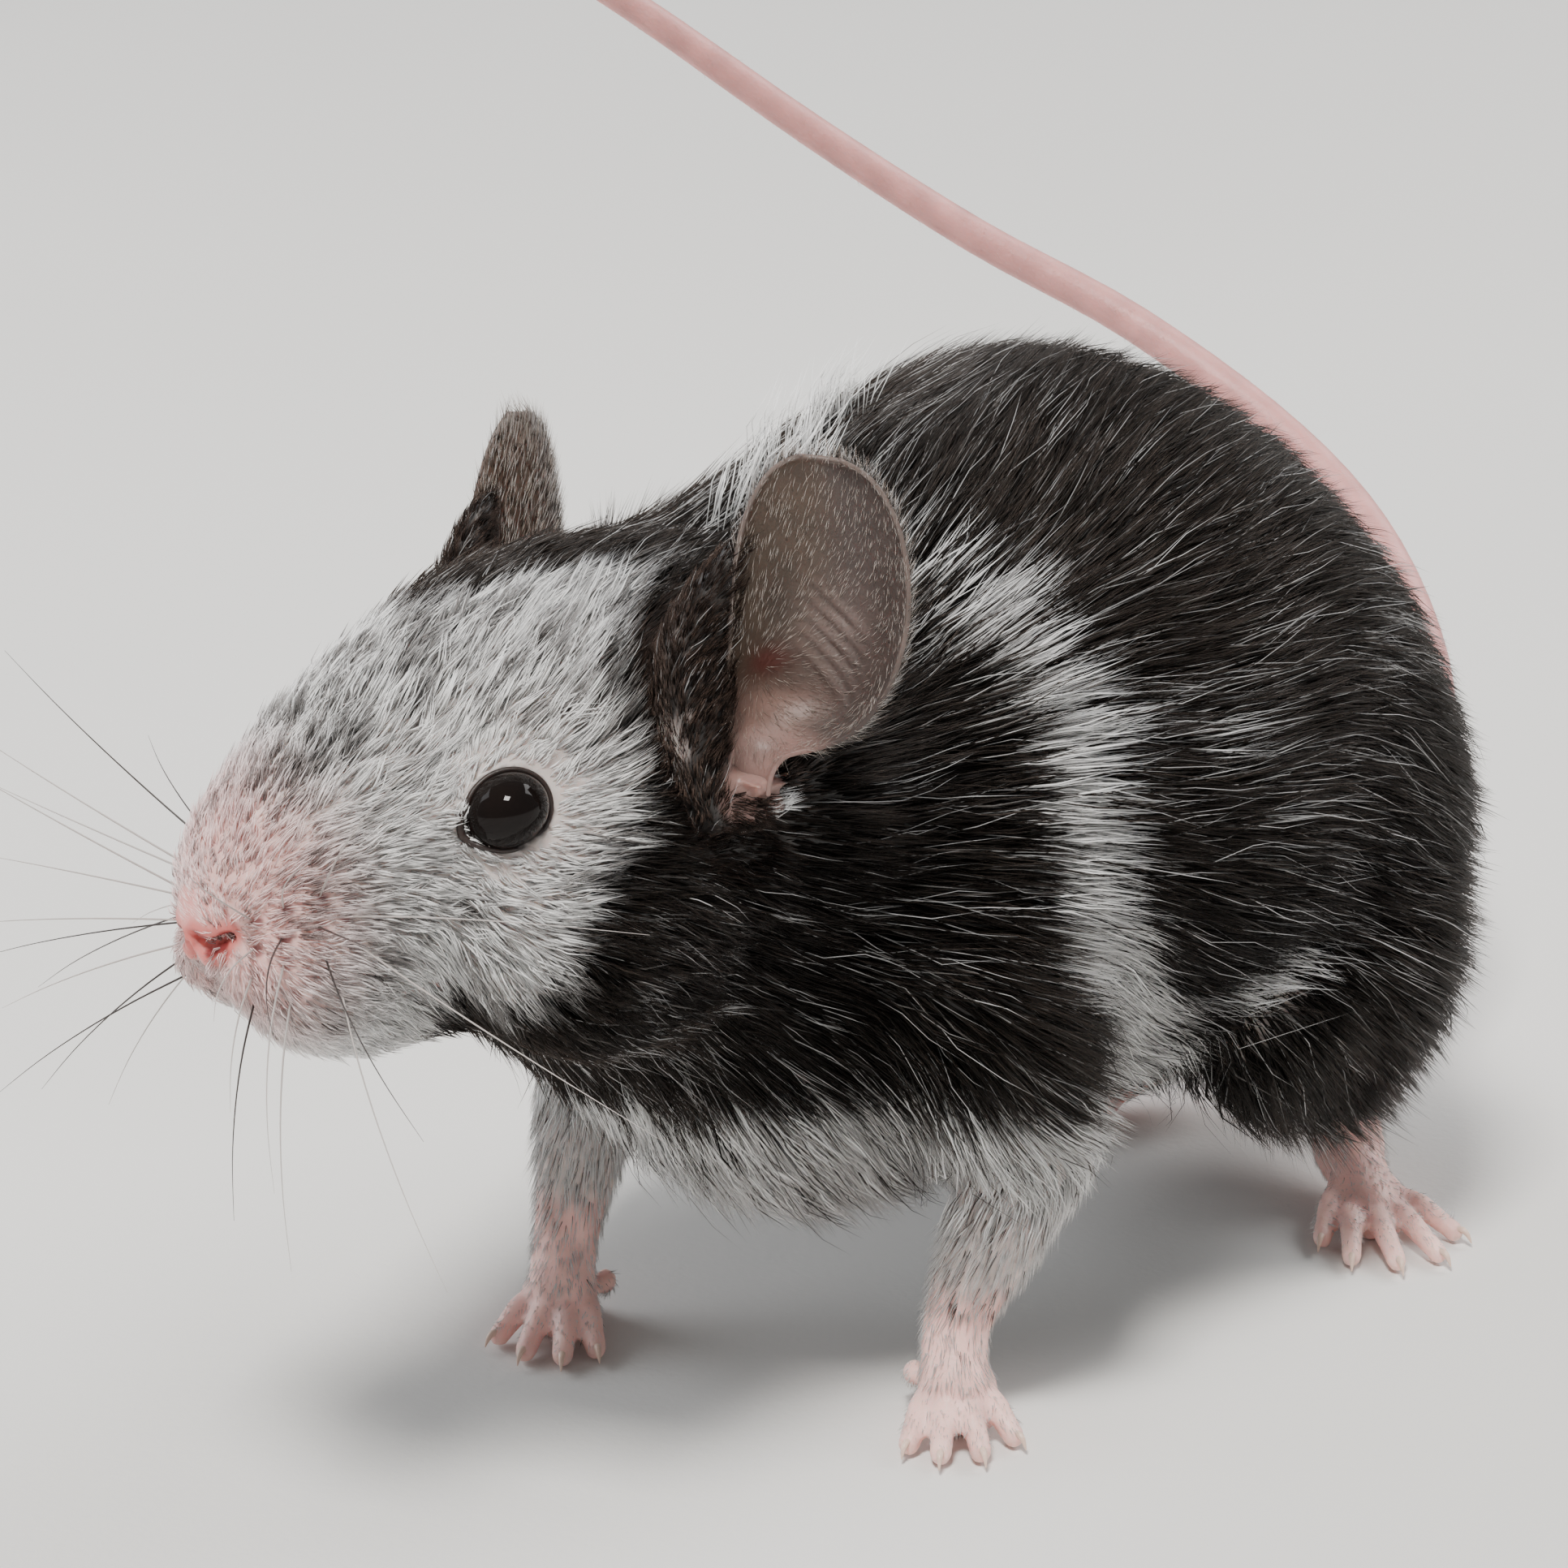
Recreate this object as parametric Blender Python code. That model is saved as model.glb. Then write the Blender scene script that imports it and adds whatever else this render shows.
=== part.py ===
"""House mouse, a fancy mouse with a silvered dark coat, standing on four feet with its tail raised.

Lengths are in millimetres until the last step, +Z is up, the mouse looks along -Y and its left side is +X.
The body is made whole, as rounded forms melted into one, and then parted with thin cuts into the pieces a
person names. Its outline is the outline of the coat, out to the tips of the hair.
"""

from math import cos, pi, radians, sin

import bmesh
import bpy
from mathutils import Euler, Matrix, Vector

# ---- driving dimensions, in millimetres -------------------------------------------------------------------
MM = 0.001
GAP = 0.3                    # width of a cut between two pieces
RING_POINTS = 40             # points round the head and trunk
ROD_POINTS = 14
DOME_ANGLES = (35, 65, 86)    # rings that round off the end of a rod, in degrees
BODY_GRAIN = 0.42            # cell of the mesh that melts the forms together
PAW_GRAIN = 0.24
TOOL_GRAIN = 0.8
EAR_TOOL_GRAIN = 0.27
BODY_SOFTENING = 34          # rounds of smoothing after melting
FINE_SOFTENING = 10
PAW_SOFTENING = 5
TOOL_SOFTENING = 3
FACES_HEAD = 1100             # triangles left of each melted form
FACES_BODY = 1150
FACES_FOREPAW = 370
FACES_HINDFOOT = 390
FACES_TOOL = 160
FACES_EAR_TOOL = 280

# Trunk from the tail root forward: place along the body, height of the middle, half width, half height
# above the middle and below it, and shift to the left.
TRUNK_STATIONS = [
    (21.6, 14.4, 3.6, 3.8, 3.6, 0.0),
    (19.4, 16.4, 8.2, 8.8, 7.6, 0.0),
    (15.0, 19.6, 12.2, 12.6, 11.0, 0.0),
    (8.0, 22.9, 14.2, 15.6, 13.6, 0.0),
    (0.0, 24.3, 14.9, 17.0, 15.2, 0.0),
    (-8.0, 24.4, 13.9, 16.0, 15.8, 0.0),
    (-14.0, 24.4, 12.4, 14.2, 17.0, -0.3),
    (-19.5, 25.2, 10.8, 12.6, 16.0, -0.8),
    (-24.5, 26.4, 9.6, 11.2, 12.2, -1.2),
    (-29.0, 27.2, 8.4, 9.0, 9.2, -1.6),
]

# Head from the nose back, in a frame of its own whose origin is the tip of the nose: distance behind the
# tip, height of the middle, half width, half height above and below.
HEAD_STATIONS = [
    (0.0, 0.2, 0.9, 0.8, 0.8),
    (0.8, 0.2, 2.1, 2.1, 2.3),
    (2.4, 0.3, 3.2, 4.0, 4.2),
    (5.0, 0.6, 4.3, 5.9, 5.6),
    (8.5, 1.1, 5.6, 7.8, 7.4),
    (12.0, 1.6, 6.9, 9.0, 9.0),
    (16.0, 1.9, 8.4, 9.5, 9.8),
    (20.0, 1.9, 9.4, 9.3, 10.2),
    (24.0, 1.5, 9.6, 9.0, 9.9),
    (28.5, 0.8, 8.6, 8.4, 9.2),
]
NOSE_TIP = Vector((-2.0, -42.9, 27.2))
HEAD_YAW = radians(-9.0)
HEAD_PITCH = radians(0.0)
HEAD_ROLL = radians(-6.0)

# Rounded masses of the left half of the head, as place, radii and turn in degrees: the cheek, the mound that
# the ear stands on, the whisker pad, and the chin in the middle.
CHEEK = ((5.2, 15.0, -2.6), (4.6, 6.6, 5.4), (0.0, 0.0, 8.0))
EAR_MOUND = ((4.3, 18.5, 5.6), (4.2, 5.4, 4.0), (0.0, 20.0, 0.0))
WHISKER_PAD = ((2.5, 4.9, -2.3), (2.3, 3.9, 3.1), (12.0, 0.0, 14.0))
CHIN = ((0.0, 6.9, -4.9), (2.6, 4.6, 2.2), (-8.0, 0.0, 0.0))

EYE_RADIUS = 1.75
EYE_PLACE = Vector((5.6, 10.7, 2.7))
NOSE_PAD = (1.5, 1.0, 1.4)
NOSE_PLACE = Vector((0.0, 0.75, -0.75))

# The ear as rows across it, from the root to the tip: height as a share of the length, half width, half
# angle of its curl in degrees, and shift towards the back edge.
EAR_LENGTH = 12.3
EAR_WALL = 0.8
EAR_COLUMNS = 9
EAR_BEND_BACK = 1.4           # how far the tip of the dish bends back
EAR_ROWS = [
    (-0.05, 0.9, 128.0, -0.5),
    (0.02, 1.1, 124.0, -0.4),
    (0.12, 1.6, 114.0, 0.1),
    (0.24, 2.6, 96.0, 0.7),
    (0.38, 3.1, 76.0, 1.1),
    (0.54, 3.3, 64.0, 1.2),
    (0.70, 3.1, 54.0, 1.1),
    (0.83, 2.5, 46.0, 0.9),
    (0.92, 1.8, 38.0, 0.7),
    (0.97, 1.1, 32.0, 0.6),
    (1.00, 0.45, 28.0, 0.5),
]
EAR_LEFT = {"side": 1, "root": (9.7, 19.6, 2.6), "face": 48.0, "lean_out": 5.0, "lean_back": 7.0}
EAR_RIGHT = {"side": -1, "root": (9.1, 18.2, 2.1), "face": 56.0, "lean_out": 5.0, "lean_back": 8.0}

WRIST_RADIUS = 1.7
ANKLE_RADIUS = 1.9
HIND_SOLE = 8.8              # from the toe roots back to the heel, along the floor
FORE_TOE = 0.62              # radius of a toe
HIND_TOE = 0.6
CLAW_RADIUS = 0.27
SHOULDER_RADII = [5.4, 4.7, 3.7]
SHIN_RADII = [3.6, 3.2, 2.3, 2.1]
FOREARM_CUT = 0.40           # where the upper arm ends, as a share of the way from elbow to wrist
WRIST_CUT = 0.2              # how far above the wrist the paw ends
HOCK_CUT = 2.9               # how far above the heel the hind foot ends

# Digits of each foot, as ahead and outward places of their root and tip from the foot's own point.
FORE_DIGITS = [
    ((1.5, -1.05), (3.9, -1.8)), ((1.8, -0.35), (4.7, -0.5)),
    ((1.75, 0.4), (4.4, 1.1)), ((1.3, 1.1), (3.0, 2.4)),
]
HIND_DIGITS = [
    ((-1.2, -1.4), (1.3, -2.7)), ((0.0, -1.0), (3.4, -2.0)), ((0.2, -0.2), (4.2, -0.2)),
    ((0.1, 0.6), (3.8, 1.8)), ((-0.8, 1.3), (1.8, 3.2)),
]

# Pads under each foot, as ahead, outward and up from the foot's own point.
FORE_PADS = [(-0.4, -0.7, 0.6), (-0.4, 0.75, 0.6), (1.5, -0.9, 0.55), (1.8, 0.1, 0.55), (1.4, 1.0, 0.55)]
HIND_PADS = [(-0.4, -1.0, 0.55), (0.4, -0.3, 0.55), (0.4, 0.6, 0.55), (-0.5, 1.1, 0.55), (-2.6, -0.5, 0.7)]
PAD_RADII = (0.88, 0.75, 0.75)

# Each leg's joints. A forepaw's own point is on the floor under the wrist, a hind foot's is on the floor
# under the toe roots. Turn is how far the foot points outwards from straight ahead, in degrees.
FORE_LEFT = {
    "side": 1, "point": (8.5, -12.9, 0.0), "turn": 44.0, "wrist": (8.4, -12.7, 4.2),
    "elbow": (10.3, -10.4, 12.0), "shoulder": (8.4, -13.0, 20.0),
}
FORE_RIGHT = {
    "side": -1, "point": (-9.1, -18.9, 0.0), "turn": -42.0, "wrist": (-9.1, -18.7, 4.2),
    "elbow": (-10.2, -15.6, 12.5), "shoulder": (-8.6, -15.5, 20.0),
}
HIND_LEFT = {
    "side": 1, "point": (8.8, 12.9, 0.0), "turn": 58.0, "heel_height": 3.2,
    "knee": (10.5, 3.6, 13.6), "hip": (7.0, 10.4, 18.8),
}
HIND_RIGHT = {
    "side": -1, "point": (-9.4, 11.0, 0.0), "turn": 26.0, "heel_height": 2.6,
    "knee": (-10.8, 3.0, 13.7), "hip": (-7.0, 10.2, 18.8),
}

# The lines in side view that part the whole body, as (back, up) from the throat to the nape, and so on.
NECK_FRONT = ((-25.4, 16.0), (-18.6, 38.0))
NECK_BACK = ((-22.4, 14.0), (-12.6, 38.0))
CHEST_END = -4.2
LOIN_END = 7.0
MOUTH_LINE = ((-2.0, -4.0), (12.0, -5.0), (15.5, -15.0), (-2.0, -15.0))

# The tail's middle line from its root, and its radius along the way.
TAIL_LINE = [
    (0.0, 19.0, 13.6), (-1.2, 25.6, 14.2), (-5.0, 31.8, 17.6), (-11.5, 36.0, 22.0), (-19.0, 37.6, 25.8),
    (-28.6, 36.5, 30.1), (-36.4, 32.6, 34.0), (-43.1, 27.5, 39.1), (-49.0, 20.1, 45.9), (-53.0, 13.0, 51.0),
    (-55.0, 6.5, 54.0),
]
TAIL_RADII = [2.5, 1.95, 1.45, 1.15, 1.02, 0.97, 0.93, 0.88, 0.8, 0.62, 0.4]
TAIL_POINTS = 9
TAIL_ROOT_CUT = 3.6          # how far along the line the bare tail begins
TAIL_CUTS = (("tail_middle", 3), ("tail_end", 6), ("tail_tip", 8))

# Colours of the coat, the bare skin, the ears and the eyes.
COAT_DARK = (0.035, 0.032, 0.031)
COAT_SILVER = (0.42, 0.40, 0.39)
SKIN_PINK = (0.72, 0.42, 0.38)
EAR_SKIN = (0.30, 0.21, 0.18)
EYE_BLACK = (0.006, 0.004, 0.004)


# ---- making and joining forms -----------------------------------------------------------------------------
def clear_scene():
    for obj in list(bpy.data.objects):
        bpy.data.objects.remove(obj, do_unlink=True)


def material(name, colour, roughness):
    made = bpy.data.materials.new(name)
    made.use_nodes = True
    shader = made.node_tree.nodes["Principled BSDF"]
    shader.inputs["Base Color"].default_value = (*colour, 1.0)
    shader.inputs["Roughness"].default_value = roughness
    shader.inputs["Metallic"].default_value = 0.0
    return made


def add_object(name, bm):
    bmesh.ops.recalc_face_normals(bm, faces=bm.faces[:])
    mesh = bpy.data.meshes.new(name)
    bm.to_mesh(mesh)
    bm.free()
    obj = bpy.data.objects.new(name, mesh)
    bpy.context.scene.collection.objects.link(obj)
    return obj


def copy_of(obj, name):
    twin = bpy.data.objects.new(name, obj.data.copy())
    bpy.context.scene.collection.objects.link(twin)
    return twin


def remove(obj):
    bpy.data.objects.remove(obj, do_unlink=True)


def settle(obj):
    """Apply the object's modifiers to its mesh."""
    bpy.context.view_layer.update()
    depsgraph = bpy.context.evaluated_depsgraph_get()
    mesh = bpy.data.meshes.new_from_object(obj.evaluated_get(depsgraph))
    obj.modifiers.clear()
    obj.data = mesh


def boolean(obj, cutter, operation):
    step = obj.modifiers.new("boolean", "BOOLEAN")
    step.operation = operation
    step.solver = "EXACT"
    step.object = cutter
    settle(obj)


def melt(obj, grain, rounds):
    """Melt overlapping closed forms into one skin and smooth it."""
    cells = obj.modifiers.new("melt", "REMESH")
    cells.mode = "VOXEL"
    cells.voxel_size = grain
    cells.use_smooth_shade = True
    soft = obj.modifiers.new("soften", "SMOOTH")
    soft.factor = 0.5
    soft.iterations = rounds
    settle(obj)


def thin_out(obj, faces):
    """Bring the mesh down to about the given number of triangles."""
    obj.data.calc_loop_triangles()
    step = obj.modifiers.new("thin", "DECIMATE")
    step.ratio = min(1.0, faces / len(obj.data.loop_triangles))
    settle(obj)


def slice_off(obj, point, normal):
    """Keep what lies behind the plane and close the cut."""
    bm = bmesh.new()
    bm.from_mesh(obj.data)
    geometry = bm.verts[:] + bm.edges[:] + bm.faces[:]
    cut = bmesh.ops.bisect_plane(
        bm, geom=geometry, dist=0.0001, plane_co=point, plane_no=normal, clear_outer=True,
    )
    rim = [item for item in cut["geom_cut"] if isinstance(item, bmesh.types.BMEdge)]
    bmesh.ops.holes_fill(bm, edges=rim, sides=0)
    bm.to_mesh(obj.data)
    bm.free()


def drop_crumbs(obj):
    """Keep the largest body of the mesh and delete the slivers that a cut has left beside it."""
    bm = bmesh.new()
    bm.from_mesh(obj.data)
    seen = set()
    bodies = []
    for start in bm.verts:
        if start in seen:
            continue
        body = [start]
        seen.add(start)
        for vert in body:
            for edge in vert.link_edges:
                other = edge.other_vert(vert)
                if other not in seen:
                    seen.add(other)
                    body.append(other)
        bodies.append(body)
    bodies.sort(key=len)
    crumbs = [vert for body in bodies[:-1] for vert in body]
    bmesh.ops.delete(bm, geom=crumbs, context="VERTS")
    bm.to_mesh(obj.data)
    bm.free()


def part_at(obj, name, point, normal):
    """Part the object with a thin plane cut: the piece in front of the plane becomes a new object."""
    point = Vector(point)
    normal = Vector(normal).normalized()
    front = copy_of(obj, name)
    slice_off(front, point + normal * GAP / 2, -normal)
    slice_off(obj, point - normal * GAP / 2, normal)
    return front


def smooth_rows(rows, steps):
    """Rows of numbers joined by a smooth curve through them, with steps rows to each gap."""
    result = []
    for i in range(len(rows) - 1):
        before, a, b = rows[max(i - 1, 0)], rows[i], rows[i + 1]
        after = rows[min(i + 2, len(rows) - 1)]
        for k in range(steps):
            t = k / steps
            result.append([
                0.5 * (2 * p1 + (p2 - p0) * t + (2 * p0 - 5 * p1 + 4 * p2 - p3) * t * t
                       + (3 * p1 - p0 - 3 * p2 + p3) * t ** 3)
                for p0, p1, p2, p3 in zip(before, a, b, after)
            ])
    result.append(list(rows[-1]))
    return result


def loft(bm, rings, points):
    """A closed skin through rings of (centre, side vector, up vector, down vector)."""
    previous = None
    first = None
    for centre, side, up, down in rings:
        ring = []
        for k in range(points):
            a = 2 * pi * k / points
            lift = up if sin(a) > 0 else down
            ring.append(bm.verts.new(centre + side * cos(a) + lift * abs(sin(a))))
        edges = [bm.edges.new((ring[k], ring[(k + 1) % points])) for k in range(points)]
        if previous:
            bmesh.ops.bridge_loops(bm, edges=previous + edges)
        else:
            first = ring
        previous = edges
    bm.faces.new(first)
    bm.faces.new(ring)


def stations(rows, steps):
    """Upright oval rings for a loft from rows of back, height, half width, above, below and shift."""
    for back, height, half_width, above, below, shift in smooth_rows(rows, steps):
        yield (Vector((shift, back, height)), Vector((half_width, 0, 0)), Vector((0, 0, above)),
               Vector((0, 0, -below)))


def blob(bm, place, radii, turn=(0.0, 0.0, 0.0), matrix=Matrix(), subdivisions=3):
    """An ellipsoid, turned by angles in degrees."""
    made = bmesh.ops.create_icosphere(bm, subdivisions=subdivisions, radius=1.0)
    spin = Euler([radians(a) for a in turn], "XYZ").to_matrix().to_4x4()
    shape = matrix @ Matrix.Translation(place) @ spin @ Matrix.Diagonal((*radii, 1.0))
    bmesh.ops.transform(bm, matrix=shape, verts=made["verts"])


def dome(centre, radius, way):
    """Centres and radii of the rings that round off a rod's end."""
    return [(centre + way * radius * sin(radians(a)), radius * cos(radians(a))) for a in DOME_ANGLES]


def rod(bm, line, radii, points=ROD_POINTS, steps=4, matrix=Matrix()):
    """A round tapering rod along a smooth line, with domed ends."""
    rows = smooth_rows([(*p, r) for p, r in zip(line, radii)], steps)
    rings = [(matrix @ Vector(row[:3]), row[3]) for row in rows]
    start = (rings[0][0] - rings[1][0]).normalized()
    end = (rings[-1][0] - rings[-2][0]).normalized()
    rings = dome(*rings[0], start)[::-1] + rings + dome(*rings[-1], end)
    side = start.orthogonal()
    sections = []
    for i, (centre, radius) in enumerate(rings):
        before = rings[max(i - 1, 0)][0]
        after = rings[min(i + 1, len(rings) - 1)][0]
        along = (after - before).normalized()
        side = (side - along * side.dot(along)).normalized()
        up = along.cross(side) * radius
        sections.append((centre, side * radius, up, -up))
    loft(bm, sections, points)


# ---- the body, made whole -------------------------------------------------------------------------------
def head_frame():
    turn = Euler((HEAD_PITCH, HEAD_ROLL, HEAD_YAW), "XYZ").to_matrix().to_4x4()
    return Matrix.Translation(NOSE_TIP) @ turn


def mirrored(side, place):
    return Vector((side * place[0], place[1], place[2]))


def head_form(bm, form, side):
    """One of the head's rounded masses, on the left side (1) or the right (-1)."""
    place, radii, (pitch, roll, yaw) = form
    blob(bm, mirrored(side, place), radii, (pitch, side * roll, side * yaw), head_frame())


def cheek_forms(bm):
    """The rounded masses at the back of the head: the cheeks, and the mounds that the ears stand on."""
    for side in (1, -1):
        head_form(bm, CHEEK, side)
        head_form(bm, EAR_MOUND, side)


def muzzle_forms(bm):
    """The whisker pads and the chin, set on the front of the head."""
    for side in (1, -1):
        head_form(bm, WHISKER_PAD, side)
    head_form(bm, CHIN, 1)


def shoulder_forms(bm, leg):
    shoulder, elbow = Vector(leg["shoulder"]), Vector(leg["elbow"])
    rod(bm, [shoulder, shoulder.lerp(elbow, 0.6), elbow], SHOULDER_RADII)


def haunch_forms(bm, leg):
    side = leg["side"]
    knee, hip = Vector(leg["knee"]), Vector(leg["hip"])
    blob(bm, hip.lerp(knee, 0.35) + Vector((side * 0.2, 0.6, -1.2)), (5.8, 8.6, 9.2), (20, side * -8, 0))
    blob(bm, knee + Vector((-side * 0.6, 1.6, -0.4)), (4.0, 5.4, 5.0))


def foot_frame(leg):
    """Matrix of a foot whose own axes are ahead, outwards and up."""
    turn = radians(leg["turn"]) * leg["side"]
    ahead = Vector((sin(turn), -cos(turn), 0.0))
    out = Vector((cos(turn), sin(turn), 0.0)) * leg["side"]
    frame = Matrix((ahead, out, Vector((0.0, 0.0, 1.0)))).transposed().to_4x4()
    return Matrix.Translation(leg["point"]) @ frame


def fore_leg_forms(bm, leg):
    elbow, wrist = Vector(leg["elbow"]), Vector(leg["wrist"])
    knuckles = foot_frame(leg) @ Vector((1.4, 0.0, 1.9))
    middle = elbow.lerp(wrist, 0.5) + Vector((leg["side"] * 0.3, -0.2, 0.0))
    rod(bm, [elbow, middle, wrist, knuckles], [3.4, 2.7, WRIST_RADIUS, WRIST_RADIUS * 0.9])


def heel_and_ankle(leg):
    heel = foot_frame(leg) @ Vector((-HIND_SOLE, 0.0, leg["heel_height"] + 1.4))
    ankle = foot_frame(leg) @ Vector((1.4 - HIND_SOLE, 0.0, leg["heel_height"] + 2.6))
    return heel, ankle


def hind_leg_forms(bm, leg):
    knee = Vector(leg["knee"])
    heel, ankle = heel_and_ankle(leg)
    shin = knee.lerp(ankle, 0.5) + Vector((leg["side"] * 0.8, 0.0, -0.8))
    rod(bm, [knee, shin, ankle, heel.lerp(ankle, 0.5)], SHIN_RADII)


def make_body():
    """The whole body but its paws, ears, eyes and the length of the tail."""
    head = bmesh.new()
    loft(head, stations([(*row, 0.0) for row in HEAD_STATIONS], 5), RING_POINTS)
    bmesh.ops.transform(head, matrix=head_frame(), verts=head.verts[:])
    head_mesh = bpy.data.meshes.new("head form")
    head.to_mesh(head_mesh)
    head.free()

    bm = bmesh.new()
    loft(bm, stations(TRUNK_STATIONS, 5), RING_POINTS)
    bm.from_mesh(head_mesh)
    cheek_forms(bm)
    for leg in (FORE_LEFT, FORE_RIGHT):
        shoulder_forms(bm, leg)
    for leg in (HIND_LEFT, HIND_RIGHT):
        haunch_forms(bm, leg)
    body = add_object("body", bm)
    melt(body, BODY_GRAIN, BODY_SOFTENING)

    bm = bmesh.new()
    bm.from_mesh(body.data)
    bm.from_mesh(head_mesh)
    muzzle_forms(bm)
    for leg in (FORE_LEFT, FORE_RIGHT):
        fore_leg_forms(bm, leg)
    for leg in (HIND_LEFT, HIND_RIGHT):
        hind_leg_forms(bm, leg)
    rod(bm, TAIL_LINE[:3], TAIL_RADII[:3])
    bm.to_mesh(body.data)
    bm.free()
    melt(body, BODY_GRAIN, FINE_SOFTENING)
    return body


def digits(bm, frame, rows, root_height, thickness):
    """Arched toes from their roots to their tips, each with a pad under its end and a short claw."""
    for (root_ahead, root_out), (tip_ahead, tip_out) in rows:
        root = Vector((root_ahead, root_out, root_height))
        tip = Vector((tip_ahead, tip_out, thickness * 0.85))
        way = (tip - root).normalized()
        middle = root.lerp(tip, 0.5) + Vector((0.0, 0.0, 0.25))
        rod(bm, [root, middle, tip], [thickness * 1.15, thickness, thickness], 10, 3, frame)
        claw = tip + Vector((way.x, way.y, -0.2)) * thickness * 1.7
        rod(bm, [tip, claw], [CLAW_RADIUS * 1.4, CLAW_RADIUS], 8, 2, frame)


def stand_on_floor(foot):
    slice_off(foot, Vector((0.0, 0.0, 0.0)), Vector((0.0, 0.0, -1.0)))


def make_forepaw(leg, name):
    """Four toes and the stump of a thumb on a narrow palm with pads."""
    frame = foot_frame(leg)
    bm = bmesh.new()
    fore_leg_forms(bm, leg)
    blob(bm, Vector((1.0, 0.1, 1.7)), (1.9, 1.75, 1.25), (0, 24, 0), frame)
    digits(bm, frame, FORE_DIGITS, 1.45, FORE_TOE)
    blob(bm, Vector((-0.3, -1.75, 1.7)), (0.75, 0.6, 0.6), matrix=frame)
    for pad in FORE_PADS:
        blob(bm, Vector(pad), PAD_RADII, matrix=frame)
    paw = add_object(name, bm)
    melt(paw, PAW_GRAIN, PAW_SOFTENING)
    thin_out(paw, FACES_FOREPAW)
    stand_on_floor(paw)
    return paw


def make_hindfoot(leg, name):
    """Five toes on a long sole that rises to the heel."""
    frame = foot_frame(leg)
    heel, ankle = heel_and_ankle(leg)
    bm = bmesh.new()
    hind_leg_forms(bm, leg)
    instep = frame @ Vector((-3.5, 0.0, 2.3))
    rod(bm, [ankle, instep], [2.1, ANKLE_RADIUS])
    rod(bm, [heel, instep, frame @ Vector((0.0, 0.0, 1.4))], [1.55, 1.6, 1.2])
    blob(bm, Vector((-0.9, 0.0, 1.35)), (2.3, 1.9, 1.1), (0, 12, 0), frame)
    digits(bm, frame, HIND_DIGITS, 1.15, HIND_TOE)
    for pad in HIND_PADS:
        blob(bm, Vector(pad), PAD_RADII, matrix=frame)
    foot = add_object(name, bm)
    melt(foot, PAW_GRAIN, PAW_SOFTENING)
    thin_out(foot, FACES_HINDFOOT)
    stand_on_floor(foot)
    return foot


def make_ear(ear, name):
    """A thin dish, rolled to a funnel at its root, open to the front and outwards."""
    bm = bmesh.new()
    rows = []
    for share, half_width, curl, shift in EAR_ROWS:
        bend = radians(curl)
        radius = half_width / sin(min(bend, pi / 2))
        row = []
        for k in range(EAR_COLUMNS):
            a = bend * (2 * k / (EAR_COLUMNS - 1) - 1)
            across = radius * sin(a) + shift
            depth = radius * (cos(a) - cos(bend)) if bend < pi / 2 else radius * cos(a)
            back = depth + EAR_BEND_BACK * share * share
            row.append(bm.verts.new((across, back, share * EAR_LENGTH)))
        rows.append(row)
    for low, high in zip(rows, rows[1:]):
        for k in range(EAR_COLUMNS - 1):
            bm.faces.new((low[k], low[k + 1], high[k + 1], high[k]))
    lean = Euler((radians(-ear["lean_back"]), radians(ear["lean_out"]), 0.0), "XYZ").to_matrix().to_4x4()
    face = Matrix.Rotation(radians(ear["face"]), 4, "Z")
    place = Matrix.Translation(ear["root"]) @ lean @ face
    if ear["side"] < 0:
        place = Matrix.Diagonal((-1.0, 1.0, 1.0, 1.0)) @ place
    bmesh.ops.transform(bm, matrix=head_frame() @ place, verts=bm.verts[:])
    obj = add_object(name, bm)
    wall = obj.modifiers.new("wall", "SOLIDIFY")
    wall.thickness = EAR_WALL
    wall.offset = 0.0
    settle(obj)
    bm = bmesh.new()
    bm.from_mesh(obj.data)
    bmesh.ops.recalc_face_normals(bm, faces=bm.faces[:])
    bm.to_mesh(obj.data)
    bm.free()
    return obj


def jaw_tool():
    """A block under the line of the mouth, in the head's own frame."""
    reach = 12.0
    bm = bmesh.new()
    bm.faces.new([bm.verts.new((-reach, back, up)) for back, up in MOUTH_LINE])
    made = bmesh.ops.extrude_face_region(bm, geom=bm.faces[:])
    moved = [v for v in made["geom"] if isinstance(v, bmesh.types.BMVert)]
    bmesh.ops.translate(bm, verts=moved, vec=Vector((2 * reach, 0.0, 0.0)))
    bmesh.ops.transform(bm, matrix=head_frame(), verts=bm.verts[:])
    return add_object("tool", bm)


def make_room(obj, guest, thin_wall=False):
    """Cut the guest's shape, swollen by the gap, out of the object."""
    tool = copy_of(guest, "tool")
    swell = tool.modifiers.new("gap", "DISPLACE")
    swell.strength = GAP
    swell.mid_level = 0.0
    settle(tool)
    if thin_wall:
        melt(tool, EAR_TOOL_GRAIN, 0)
        thin_out(tool, FACES_EAR_TOOL)
    boolean(obj, tool, "DIFFERENCE")
    remove(tool)


def part_with(obj, name, tool):
    """Take the piece inside the tool off the object, leaving a gap round it."""
    piece = copy_of(obj, name)
    boolean(piece, tool, "INTERSECT")
    make_room(obj, tool)
    remove(tool)
    return piece


def melted_tool(bm):
    tool = add_object("tool", bm)
    melt(tool, TOOL_GRAIN, TOOL_SOFTENING)
    thin_out(tool, FACES_TOOL)
    return tool


def fore_leg_tool(leg):
    """The space that holds one whole fore leg, down from the shoulder."""
    shoulder, elbow, wrist = (Vector(leg[k]) for k in ("shoulder", "elbow", "wrist"))
    outwards = Vector((leg["side"] * 2.4, 0.0, 0.0))
    low = wrist - Vector((0.0, 0.0, 3.0))
    bm = bmesh.new()
    rod(bm, [shoulder + outwards, shoulder.lerp(elbow, 0.5) + outwards, elbow + outwards * 0.4, wrist, low],
        [6.0, 6.4, 5.2, 3.4, 3.2])
    return melted_tool(bm)


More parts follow.
